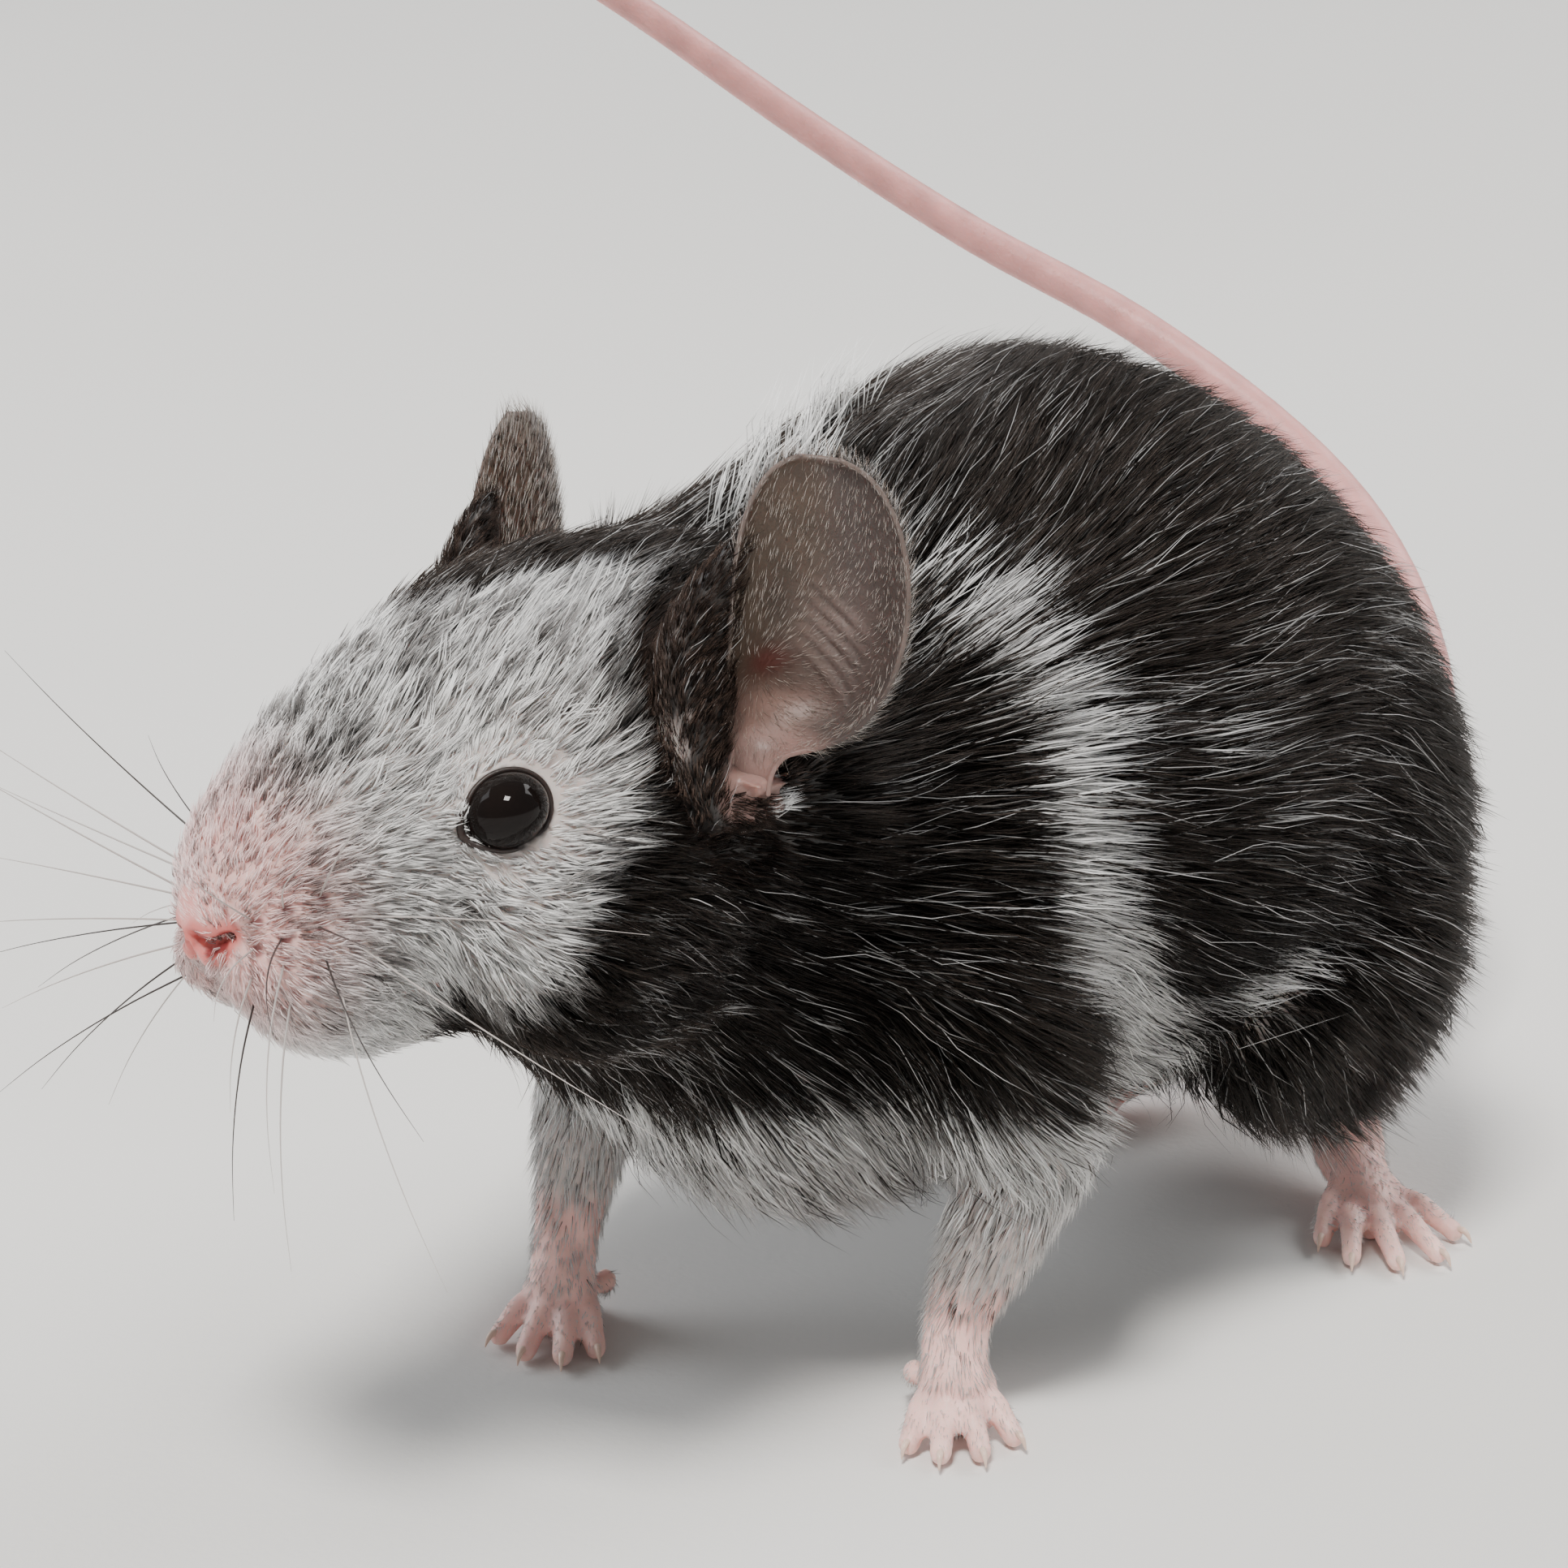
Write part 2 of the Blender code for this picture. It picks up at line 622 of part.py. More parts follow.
def hind_leg_tool(leg):
    """The space that holds one haunch and the leg under it."""
    side = leg["side"]
    knee, hip = Vector(leg["knee"]), Vector(leg["hip"])
    heel, ankle = heel_and_ankle(leg)
    middle = hip.lerp(knee, 0.35) + Vector((side * 2.4, 0.2, -0.6))
    bm = bmesh.new()
    blob(bm, middle, (8.0, 10.2, 10.4), (20, side * -8, 0))
    rod(bm, [knee, knee.lerp(ankle, 0.5), ankle, ankle - Vector((0.0, 0.0, 3.0))],
        [5.4, 4.6, 3.6, 3.6])
    return melted_tool(bm)


def side_plane(line, yaw=0.0):
    """Point and normal of a plane seen edge-on from the side as a line."""
    (low_y, low_z), (high_y, high_z) = line
    normal = Vector((0.0, high_z - low_z, low_y - high_y)).normalized()
    normal.rotate(Euler((0.0, 0.0, yaw)))
    return Vector((0.0, (low_y + high_y) / 2, (low_z + high_z) / 2)), normal


def finish(obj, origin, skin):
    """Give the piece its material and its place in metres, with the part's origin under its middle."""
    obj.data.name = obj.name
    obj.data.materials.clear()
    obj.data.materials.append(skin)
    obj.data.transform(Matrix.Scale(MM, 4) @ Matrix.Translation(-origin))
    obj.data.shade_smooth()
    obj.data.set_sharp_from_angle(angle=radians(50))


def part_fore_leg(trunk, leg, word, dark, silver, pink):
    """Upper arm and forearm off the trunk, and the paw under them."""
    arm = part_with(trunk, "upper_arm_" + word, fore_leg_tool(leg))
    elbow, wrist = Vector(leg["elbow"]), Vector(leg["wrist"])
    down = (wrist - elbow).normalized()
    forearm = part_at(arm, "forearm_" + word, elbow.lerp(wrist, FOREARM_CUT), down)
    slice_off(forearm, wrist - down * (WRIST_CUT + GAP / 2), down)
    paw = make_forepaw(leg, "forepaw_" + word)
    slice_off(paw, wrist - down * (WRIST_CUT - GAP / 2), -down)
    return [(arm, dark), (forearm, silver), (paw, pink)]


def part_hind_leg(trunk, leg, word, dark, pink):
    """Haunch and shin off the trunk in one piece, and the foot under them."""
    up = Vector((0.0, 0.0, 1.0))
    haunch = part_with(trunk, "hind_leg_" + word, hind_leg_tool(leg))
    cut_height = leg["heel_height"] + HOCK_CUT
    slice_off(haunch, up * (cut_height + GAP / 2), -up)
    foot = make_hindfoot(leg, "hind_foot_" + word)
    slice_off(foot, up * (cut_height - GAP / 2), up)
    return [(haunch, dark), (foot, pink)]


def part_tail(trunk, pink):
    """The bare tail in four lengths, from where the coat ends."""
    root, after = Vector(TAIL_LINE[0]), Vector(TAIL_LINE[1])
    way = (after - root).normalized()
    cut = root + way * TAIL_ROOT_CUT
    slice_off(trunk, cut - way * GAP / 2, way)
    bm = bmesh.new()
    rod(bm, TAIL_LINE, TAIL_RADII, TAIL_POINTS, 3)
    tail = add_object("tail_root", bm)
    slice_off(tail, cut + way * GAP / 2, -way)
    pieces = [(tail, pink)]
    for name, i in TAIL_CUTS:
        way = (Vector(TAIL_LINE[i + 1]) - Vector(TAIL_LINE[i - 1])).normalized()
        tail = part_at(tail, name, Vector(TAIL_LINE[i]), way)
        pieces.append((tail, pink))
    return pieces


def part_trunk(trunk, dark):
    """The neck, chest, loin and rump, one behind the other."""
    back = Vector((0.0, 1.0, 0.0))
    neck = trunk
    neck.name = "neck"
    chest = part_at(neck, "chest", *side_plane(NECK_BACK, HEAD_YAW * 0.4))
    loin = part_at(chest, "loin", back * CHEST_END, back)
    rump = part_at(loin, "rump", back * LOIN_END, back)
    return neck, [(neck, dark), (chest, dark), (loin, dark), (rump, dark)]


def round_piece(name, place, radii, subdivisions):
    bm = bmesh.new()
    blob(bm, place, radii, matrix=head_frame(), subdivisions=subdivisions)
    return add_object(name, bm)


def fill_head(head, neck, silver, pink, ear_skin, eye):
    """The lower jaw, eyes, ears and nose, each with room made for it in the head."""
    head.name = "head"
    jaw = part_with(head, "lower_jaw", jaw_tool())
    pieces = [(head, silver), (jaw, silver)]
    for side, word in ((1, "left"), (-1, "right")):
        ball = round_piece("eye_" + word, mirrored(side, EYE_PLACE), (EYE_RADIUS,) * 3, 3)
        make_room(head, ball)
        pieces.append((ball, eye))
    for ear, word in ((EAR_LEFT, "left"), (EAR_RIGHT, "right")):
        dish = make_ear(ear, "ear_" + word)
        make_room(head, dish, thin_wall=True)
        make_room(neck, dish, thin_wall=True)
        pieces.append((dish, ear_skin))
    nose = round_piece("nose_pad", NOSE_PLACE, NOSE_PAD, 2)
    make_room(head, nose)
    pieces.append((nose, pink))
    return pieces


def main():
    clear_scene()
    dark = material("coat_dark", COAT_DARK, 0.6)
    silver = material("coat_silver", COAT_SILVER, 0.6)
    pink = material("bare_skin", SKIN_PINK, 0.5)
    ear_skin = material("ear_skin", EAR_SKIN, 0.55)
    eye = material("eye", EYE_BLACK, 0.05)

    head = make_body()
    trunk = part_at(head, "trunk", *side_plane(NECK_FRONT, HEAD_YAW * 0.7))
    thin_out(head, FACES_HEAD)
    thin_out(trunk, FACES_BODY)

    pieces = []
    for leg, word in ((FORE_LEFT, "left"), (FORE_RIGHT, "right")):
        pieces += part_fore_leg(trunk, leg, word, dark, silver, pink)
    for leg, word in ((HIND_LEFT, "left"), (HIND_RIGHT, "right")):
        pieces += part_hind_leg(trunk, leg, word, dark, pink)
    pieces += part_tail(trunk, pink)
    neck, lengths = part_trunk(trunk, dark)
    pieces += lengths
    pieces += fill_head(head, neck, silver, pink, ear_skin, eye)

    for obj, skin in pieces:
        drop_crumbs(obj)
    corners = [v.co for obj, skin in pieces for v in obj.data.vertices]
    low = [min(c[i] for c in corners) for i in range(3)]
    high = [max(c[i] for c in corners) for i in range(3)]
    origin = Vector(((low[0] + high[0]) / 2, (low[1] + high[1]) / 2, low[2]))
    for obj, skin in pieces:
        finish(obj, origin, skin)


main()
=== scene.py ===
"""House mouse, a still life-size model: skin, coat, ears, eyes, feet, tail and whiskers over the solids."""

from math import cos, pi, radians, sin

import bmesh
import bpy
import numpy as np
from mathutils import Euler, Matrix, Vector
from mathutils.bvhtree import BVHTree
from mathutils.kdtree import KDTree


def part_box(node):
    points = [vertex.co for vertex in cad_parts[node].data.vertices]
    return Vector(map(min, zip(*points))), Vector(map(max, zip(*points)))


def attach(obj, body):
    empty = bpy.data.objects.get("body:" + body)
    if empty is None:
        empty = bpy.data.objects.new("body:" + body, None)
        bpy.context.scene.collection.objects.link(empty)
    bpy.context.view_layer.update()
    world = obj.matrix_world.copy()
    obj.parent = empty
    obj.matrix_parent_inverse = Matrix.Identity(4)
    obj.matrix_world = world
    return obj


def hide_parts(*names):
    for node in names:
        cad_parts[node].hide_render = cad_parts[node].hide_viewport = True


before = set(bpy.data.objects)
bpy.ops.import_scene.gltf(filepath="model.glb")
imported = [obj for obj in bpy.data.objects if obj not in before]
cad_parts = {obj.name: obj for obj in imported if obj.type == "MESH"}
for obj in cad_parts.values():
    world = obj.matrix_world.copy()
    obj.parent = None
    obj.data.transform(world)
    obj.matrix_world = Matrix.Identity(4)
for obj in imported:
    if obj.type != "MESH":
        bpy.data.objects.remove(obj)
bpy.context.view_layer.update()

# ---- Camera -----------------------------------------------------------------
# The viewer stands before the mouse's left shoulder and looks down on it a little,
# from 0.2 m away, in the direction from which the picture was taken.
MM = 0.001
VIEW_DISTANCE = 0.2
aim = Vector((17.25, -9.8, 24.25)) * MM
around, above = radians(47.0), radians(20.0)
backwards = Vector((sin(around) * cos(above), -cos(around) * cos(above), sin(above)))
lens = bpy.data.cameras.new("camera")
lens.sensor_width = 36.0
lens.lens = 111.8
lens.clip_start = 0.01
camera = bpy.data.objects.new("camera", lens)
camera.location = aim + backwards * VIEW_DISTANCE
camera.rotation_euler = backwards.to_track_quat("Z", "Y").to_euler()
bpy.context.scene.collection.objects.link(camera)
bpy.context.scene.camera = camera


# ---- Lights -----------------------------------------------------------------
# One soft lamp high over the viewer's head, a wide weak one from the other side,
# one from behind, and a pale room all round.
def lamp(name, place, size, watts, colour):
    light = bpy.data.lights.new(name, "AREA")
    light.size = size
    light.energy = watts
    light.color = colour
    stand = bpy.data.objects.new(name, light)
    stand.location = place
    stand.rotation_euler = (Vector(place) - aim).to_track_quat("Z", "Y").to_euler()
    bpy.context.scene.collection.objects.link(stand)


lamp("key lamp", (0.16, -0.26, 0.62), 0.16, 6.5, (1.0, 0.97, 0.93))
lamp("side lamp", (-0.55, -0.25, 0.35), 0.5, 3.0, (0.93, 0.96, 1.0))
lamp("back lamp", (0.15, 0.55, 0.5), 0.4, 4.0, (1.0, 1.0, 1.0))
room = bpy.data.worlds.new("pale room")
room.use_nodes = True
room.node_tree.nodes["Background"].inputs["Color"].default_value = (0.80, 0.80, 0.80, 1.0)
room.node_tree.nodes["Background"].inputs["Strength"].default_value = 0.42
bpy.context.scene.world = room


# ---- Floor ------------------------------------------------------------------
# A plain pale board, far wider than the model, with a barely uneven matt surface.
# Its top lies two hundredths of a millimetre under the height on which the model stands.
FLOOR_DROP = 0.00002


class Field:
    """A value on a surface: its sums and products add Math nodes to the material."""

    def __init__(self, tree, socket):
        self.tree, self.socket = tree, socket

    def node(self, kind, settings=None, **sockets):
        made = self.tree.nodes.new(kind)
        for key, value in (settings or {}).items():
            setattr(made, key, value)
        for key, value in sockets.items():
            place = made.inputs[int(key[1:]) if key[1:].isdigit() else key.replace("_", " ")]
            if isinstance(value, Field):
                self.tree.links.new(value.socket, place)
            else:
                place.default_value = value
        return made

    def math(self, operation, *values):
        made = self.node("ShaderNodeMath", {"operation": operation},
                         **{"i%d" % i: value for i, value in enumerate(values)})
        return Field(self.tree, made.outputs[0])

    def __add__(self, other):
        return self.math("ADD", self, other)

    def __mul__(self, other):
        return self.math("MULTIPLY", self, other)

    __radd__ = __add__
    __rmul__ = __mul__


def finish_of(name, roughness, specular=0.5):
    """A new material: its shader, and a field to start its maths from the object's own coordinates."""
    made = bpy.data.materials.new(name)
    made.use_nodes = True
    shader = made.node_tree.nodes["Principled BSDF"]
    shader.inputs["Roughness"].default_value = roughness
    shader.inputs["Specular IOR Level"].default_value = specular
    start = Field(made.node_tree, None)
    start.socket = start.node("ShaderNodeTexCoord").outputs["Object"]
    return made, shader, start


def grain(start, scale, detail=2.0):
    """Soft noise of the given scale, per metre."""
    made = start.node("ShaderNodeTexNoise", Vector=start, Scale=scale, Detail=detail)
    return Field(start.tree, made.outputs["Fac"])


def relief(start, shader, height, distance, strength=1.0):
    """Let a field raise the surface."""
    made = start.node("ShaderNodeBump", Height=height, Distance=distance, Strength=strength)
    start.tree.links.new(made.outputs["Normal"], shader.inputs["Normal"])


def tint(start, shader, factor, low, high):
    """Mix two colours by a field into the shader's base colour."""
    made = start.node("ShaderNodeMix", {"data_type": "RGBA"}, i0=factor)
    made.inputs[6].default_value = (*low, 1.0)
    made.inputs[7].default_value = (*high, 1.0)
    start.tree.links.new(made.outputs[2], shader.inputs["Base Color"])


def mesh_object(name, bm):
    """A new object from a worked mesh."""
    mesh = bpy.data.meshes.new(name)
    bm.to_mesh(mesh)
    bm.free()
    obj = bpy.data.objects.new(name, mesh)
    bpy.context.scene.collection.objects.link(obj)
    return obj


board, board_shader, start = finish_of("pale board", 0.8, 0.2)
tint(start, board_shader, grain(start, 9.0), (0.70, 0.69, 0.67), (0.76, 0.75, 0.73))
relief(start, board_shader, grain(start, 2400.0), 0.0001, 0.25)
bm = bmesh.new()
bmesh.ops.create_grid(bm, x_segments=4, y_segments=4, size=1.6)
bmesh.ops.translate(bm, verts=bm.verts, vec=(0.0, 0.0, -FLOOR_DROP))
floor = mesh_object("floor", bm)
floor.data.materials.append(board)


# ---- Skin: the flesh under the coat -----------------------------------------
# The body's forms melted into one soft surface that lies under the coat by the coat's depth: deepest on the
# trunk, nothing on the nose. Everything is worked in millimetres here and brought to metres when it is done.
TRUNK = ["head", "lower_jaw", "neck", "chest", "loin", "rump", "upper_arm_left", "upper_arm_right",
         "forearm_left", "forearm_right", "hind_leg_left", "hind_leg_right", "nose_pad"]
CUT_CLOSING = 0.22                         # closes the thin cuts between the solids
FLESH_GRAIN = 0.34                         # cell of the first melting
SKIN_GRAIN = 0.2                           # cell of the second, with the feet and the nose
COAT_DEPTH = 1.15                          # how far the trunk's skin lies under the solids
SOCKET = 1.9                               # radius of the flesh round an eye ball
HEAD_TILT = -19.1                          # degrees from the line of eyes and nose


def middle_of(node):
    """The middle of a solid's box, in millimetres."""
    low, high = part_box(node)
    return (low + high) / 2 / MM


eye_left, eye_right, nose_middle = (middle_of(n) for n in ("eye_left", "eye_right", "nose_pad"))
# The head's own axes: left, back and up, from the eyes and the nose; its zero is the tip of the nose.
left = (eye_left - eye_right).normalized()
rise = (eye_left + eye_right) / 2 - nose_middle
rise = (rise - left * rise.dot(left)).normalized()
tilt = Matrix.Rotation(radians(HEAD_TILT), 3, left)
behind = tilt @ rise
upright = left.cross(behind)
nose_tip = nose_middle - behind * 0.75 + upright * 0.75
HEAD = Matrix((left, behind, upright)).transposed().to_4x4()
HEAD.translation = nose_tip


def solid(name, swell=0.0):
    """A copy of a solid in millimetres, merged, and swollen a little."""
    bm = bmesh.new()
    bm.from_mesh(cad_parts[name].data)
    bmesh.ops.remove_doubles(bm, verts=bm.verts, dist=1e-6)
    bmesh.ops.scale(bm, vec=(1 / MM,) * 3, verts=bm.verts)
    bm.normal_update()
    for vert in bm.verts:
        vert.co += vert.normal * swell
    return bm


def pour(bm, other):
    """Add one mesh to another."""
    passing = bpy.data.meshes.new("passing")
    other.to_mesh(passing)
    other.free()
    bm.from_mesh(passing)
    bpy.data.meshes.remove(passing)


def opened(obj):
    """The object's mesh, ready to be worked."""
    bm = bmesh.new()
    bm.from_mesh(obj.data)
    return bm


def give_back(bm, obj):
    """Put a worked mesh back into its object."""
    bm.to_mesh(obj.data)
    bm.free()


def settle(obj):
    """Apply the object's modifiers to its mesh."""
    bpy.context.view_layer.update()
    depsgraph = bpy.context.evaluated_depsgraph_get()
    mesh = bpy.data.meshes.new_from_object(obj.evaluated_get(depsgraph))
    obj.modifiers.clear()
    obj.data = mesh


def melt(obj, cell, rounds):
    """Melt overlapping closed forms into one surface and smooth it."""
    cells = obj.modifiers.new("melt", "REMESH")
    cells.mode = "VOXEL"
    cells.voxel_size = cell
    soft = obj.modifiers.new("soften", "SMOOTH")
    soft.factor = 0.5
    soft.iterations = rounds
    settle(obj)


def places(mesh):
    """The mesh's points as rows of numbers."""
    rows = np.empty(len(mesh.vertices) * 3, np.float64)
    mesh.vertices.foreach_get("co", rows)
    return rows.reshape(-1, 3)


def facings(mesh):
    """The mesh's normals at its points as rows of numbers."""
    rows = np.empty(len(mesh.vertices) * 3, np.float32)
    mesh.vertex_normals.foreach_get("vector", rows)
    return rows.reshape(-1, 3).astype(np.float64)


def move_to(mesh, rows):
    """Put the mesh's points at the given places."""
    mesh.vertices.foreach_set("co", rows.astype(np.float32).ravel())
    mesh.update()


def ramp(value, low, high):
    """A soft step from 0 at low to 1 at high."""
    t = np.clip((value - low) / (high - low), 0.0, 1.0)
    return t * t * (3.0 - 2.0 * t)


def blob(bm, place, radii, turn=(0.0, 0.0, 0.0), matrix=Matrix(), subdivisions=3):
    """An ellipsoid, turned by angles in degrees."""
    made = bmesh.ops.create_icosphere(bm, subdivisions=subdivisions, radius=1.0)
    spin = Euler([radians(a) for a in turn], "XYZ").to_matrix().to_4x4()
    shape = matrix @ Matrix.Translation(place) @ spin @ Matrix.Diagonal((*radii, 1.0))
    bmesh.ops.transform(bm, matrix=shape, verts=made["verts"])


# Where each ear stands on the head, and how it is turned.
EARS = [
    {"name": "ear_left", "side": 1, "root": (9.7, 19.6, 2.6), "face": 48.0, "lean_back": 7.0},
    {"name": "ear_right", "side": -1, "root": (9.1, 18.2, 2.1), "face": 56.0, "lean_back": 8.0},
]
EAR_LEAN_OUT = 5.0
# The root of the ear, seen from inside the dish: across, back and up, and its thickness.
EAR_ROOT_LINE = [(-1.9, 0.7, -1.0), (-2.6, 0.6, 0.4), (-3.1, 0.6, 2.5), (-3.3, 0.7, 4.3), (-3.0, 0.9, 6.0),
                 (-2.5, 1.0, 7.6), (-1.95, 1.2, 9.0)]
EAR_ROOT_RADII = [1.2, 1.3, 1.45, 1.35, 1.1, 0.72, 0.3]
STEM_KEPT = 1.2                            # how much of the solid ear's foot is melted into the head


def ear_matrix(ear):
    """The ear's own axes: across the dish, to its back, and up."""
    lean = Euler((radians(-ear["lean_back"]), radians(EAR_LEAN_OUT), 0.0), "XYZ").to_matrix().to_4x4()
    place = Matrix.Translation(ear["root"]) @ lean @ Matrix.Rotation(radians(ear["face"]), 4, "Z")
    if ear["side"] < 0:
        place = Matrix.Diagonal((-1.0, 1.0, 1.0, 1.0)) @ place
    return HEAD @ place


bm = bmesh.new()
for name in TRUNK:
    pour(bm, solid(name, CUT_CLOSING))
for name in ("ear_left", "ear_right"):
    stem = solid(name, 0.2)
    low = min(v.co.z for v in stem.verts)
    cut = bmesh.ops.bisect_plane(stem, geom=stem.verts[:] + stem.edges[:] + stem.faces[:], dist=1e-5,
                                 plane_co=(0.0, 0.0, low + STEM_KEPT), plane_no=(0.0, 0.0, 1.0),
                                 clear_outer=True)
    rim = [e for e in cut["geom_cut"] if isinstance(e, bmesh.types.BMEdge)]
    bmesh.ops.holes_fill(stem, edges=rim, sides=0)
    pour(bm, stem)
for place in (eye_left, eye_right):
    blob(bm, place, (SOCKET,) * 3)
skin = mesh_object("skin", bm)
melt(skin, FLESH_GRAIN, 14)
rows = places(skin.data)
from_nose = np.linalg.norm(rows - np.array(nose_tip), axis=1)
depth = CUT_CLOSING + COAT_DEPTH * ramp(from_nose, 2.0, 25.0) * (0.22 + 0.78 * ramp(rows[:, 2], 3.5, 9.0))
rows -= facings(skin.data) * depth[:, None]
# the funnels of the ears are emptied down to the head
for ear in EARS:
    matrix = np.array(ear_matrix(ear))
    inside = (rows - matrix[:3, 3]) @ np.linalg.inv(matrix[:3, :3]).T
    off_axis = np.hypot(inside[:, 0] + 0.4, inside[:, 1] - 0.6)
    sunk = 0.96 * np.maximum(inside[:, 2] - 0.1, 0.0) * ramp(3.0 - off_axis, 0.0, 0.9) * (inside[:, 2] < 9.0)
    rows -= sunk[:, None] * matrix[:3, 2]
move_to(skin.data, rows)


# ---- Skin: tail, feet, lids and nose ----------------------------------------
# Bare parts are modelled at their real size and melted into the flesh, so that one skin runs over all of it.
MIDLINE = Vector((19.956, 2.274, 0.0))     # the floor under the middle of the trunk


def smooth_rows(rows, steps):
    """Rows of numbers joined by a smooth curve through them, with steps rows to each gap."""
    result = []
    for i in range(len(rows) - 1):
        before, a, b = rows[max(i - 1, 0)], rows[i], rows[i + 1]
        after = rows[min(i + 2, len(rows) - 1)]
        for k in range(steps):
            t = k / steps
            result.append([
                0.5 * (2 * p1 + (p2 - p0) * t + (2 * p0 - 5 * p1 + 4 * p2 - p3) * t * t
                       + (3 * p1 - p0 - 3 * p2 + p3) * t ** 3)
                for p0, p1, p2, p3 in zip(before, a, b, after)
            ])
    result.append(list(rows[-1]))
    return result


def rod(bm, line, radii, points=16, steps=5, matrix=Matrix(), closed=False):
    """A round tapering rod along a smooth line, with domed ends, or closed to a ring."""
    rows = smooth_rows([(*p, r) for p, r in zip(line, radii)], steps)
    rings = [(matrix @ Vector(row[:3]), row[3]) for row in rows]
    if closed:
        rings.pop()
    else:
        for at, beyond in ((0, 1), (-1, -2)):
            centre, radius = rings[at]
            way = (centre - rings[beyond][0]).normalized()
            caps = [(centre + way * radius * sin(a), radius * cos(a)) for a in (0.6, 1.1, 1.48)]
            rings = caps[::-1] + rings if at == 0 else rings + caps
    side = (rings[1][0] - rings[0][0]).orthogonal()
    loops = []
    for i, (centre, radius) in enumerate(rings):
        after = rings[(i + 1) % len(rings) if closed else min(i + 1, len(rings) - 1)][0]
        along = (after - rings[i - 1 if closed else max(i - 1, 0)][0]).normalized()
        side = (side - along * side.dot(along)).normalized()
        across = along.cross(side)
        ring = [bm.verts.new(centre + (side * cos(a) + across * sin(a)) * radius)
                for a in np.linspace(0.0, 2 * pi, points, endpoint=False)]
        loops.append([bm.edges.new((ring[k], ring[(k + 1) % points])) for k in range(points)])
        if i == 0:
            first = ring
    for a, b in zip(loops, loops[1:] + loops[:1] if closed else loops[1:]):
        bmesh.ops.bridge_loops(bm, edges=a + b)
    if not closed:
        bm.faces.new(first)
        bm.faces.new(ring)


# The tail's middle line from inside the rump to its tip, and its radius along the way.
TAIL_LINE = [
    (0.0, 15.6, 14.2), (0.0, 19.0, 13.6), (-1.2, 25.6, 14.2), (-5.0, 31.8, 17.6), (-11.5, 36.0, 22.0),
    (-19.0, 37.6, 25.8), (-28.6, 36.5, 30.1), (-36.4, 32.6, 34.0), (-43.1, 27.5, 39.1), (-49.0, 20.1, 45.9),
    (-53.0, 13.0, 51.0), (-54.9, 6.9, 53.8),
]
TAIL_RADII = [2.9, 2.3, 1.85, 1.42, 1.13, 1.0, 0.95, 0.91, 0.86, 0.78, 0.6, 0.36]
FORE_FEET = [
    {"side": 1, "point": (8.5, -12.9, 0.0), "turn": 44.0, "wrist": (8.4, -12.7, 4.2),
     "elbow": (10.3, -10.4, 12.0)},
    {"side": -1, "point": (-9.1, -18.9, 0.0), "turn": -42.0, "wrist": (-9.1, -18.7, 4.2),
     "elbow": (-10.2, -15.6, 12.5)},
]
HIND_FEET = [
    {"side": 1, "point": (8.8, 12.9, 0.0), "turn": 58.0, "heel_height": 3.2, "knee": (10.5, 3.6, 13.6)},
    {"side": -1, "point": (-9.4, 11.0, 0.0), "turn": 26.0, "heel_height": 2.6, "knee": (-10.8, 3.0, 13.7)},
]
# Digits as ahead and outward places of their root and tip from the foot's own point.
FORE_DIGITS = [
    ((1.5, -1.05), (3.9, -1.8)), ((1.8, -0.35), (4.7, -0.5)),
    ((1.75, 0.4), (4.4, 1.1)), ((1.3, 1.1), (3.0, 2.4)),
]
HIND_DIGITS = [
    ((-1.2, -1.4), (1.3, -2.7)), ((0.0, -1.0), (3.4, -2.0)), ((0.2, -0.2), (4.2, -0.2)),
    ((0.1, 0.6), (3.8, 1.8)), ((-0.8, 1.3), (1.8, 3.2)),
]
SOLE = 8.8                                 # from the hind toe roots back to the heel
# Height of the digits' roots over the floor, and half the thickness of the digits.
FORE_TOES, HIND_TOES = (1.3, 0.6), (1.05, 0.58)
FORE_PADS = [(-0.4, -0.75, 0.6), (-0.4, 0.75, 0.6), (1.4, -0.95, 0.5), (1.8, 0.1, 0.5), (1.3, 1.05, 0.5)]
HIND_PADS = [(-0.4, -1.0, 0.55), (0.5, -0.3, 0.5), (0.4, 0.6, 0.5), (-0.5, 1.1, 0.55), (-2.6, -0.5, 0.7)]
WHOLE_TAIL = [MIDLINE + Vector(p) for p in TAIL_LINE]
BARE_TAIL = WHOLE_TAIL[2:]


def foot_frame(foot):
    """Matrix of a foot whose own axes are ahead, outwards and up."""
    turn = radians(foot["turn"]) * foot["side"]
    ahead = Vector((sin(turn), -cos(turn), 0.0))
    out = Vector((cos(turn), sin(turn), 0.0)) * foot["side"]
    axes = Matrix((ahead, out, Vector((0.0, 0.0, 1.0)))).transposed().to_4x4()
    return Matrix.Translation(MIDLINE + Vector(foot["point"])) @ axes


def digit_line(root, tip, root_height, thickness):
    """Root, knuckle, middle joint and tip of an arched digit."""
    a = Vector((*root, root_height))
    b = Vector((*tip, thickness * 0.88))
    return [a, a.lerp(b, 0.38) + Vector((0.0, 0.0, 0.32)), a.lerp(b, 0.72) + Vector((0.0, 0.0, 0.16)), b]


def digits(bm, matrix, rows, root_height, thickness):
    """Slim arched digits with a soft pad under each end."""
    for root, tip in rows:
        line = digit_line(root, tip, root_height, thickness)
        rod(bm, line, [thickness * k for k in (1.08, 0.98, 0.84, 0.80)], 14, 4, matrix)
        pad = line[-1] - Vector((0.0, 0.0, thickness * 0.25))
        blob(bm, pad, (thickness * 0.85, thickness * 0.72, thickness * 0.62), matrix=matrix, subdivisions=2)


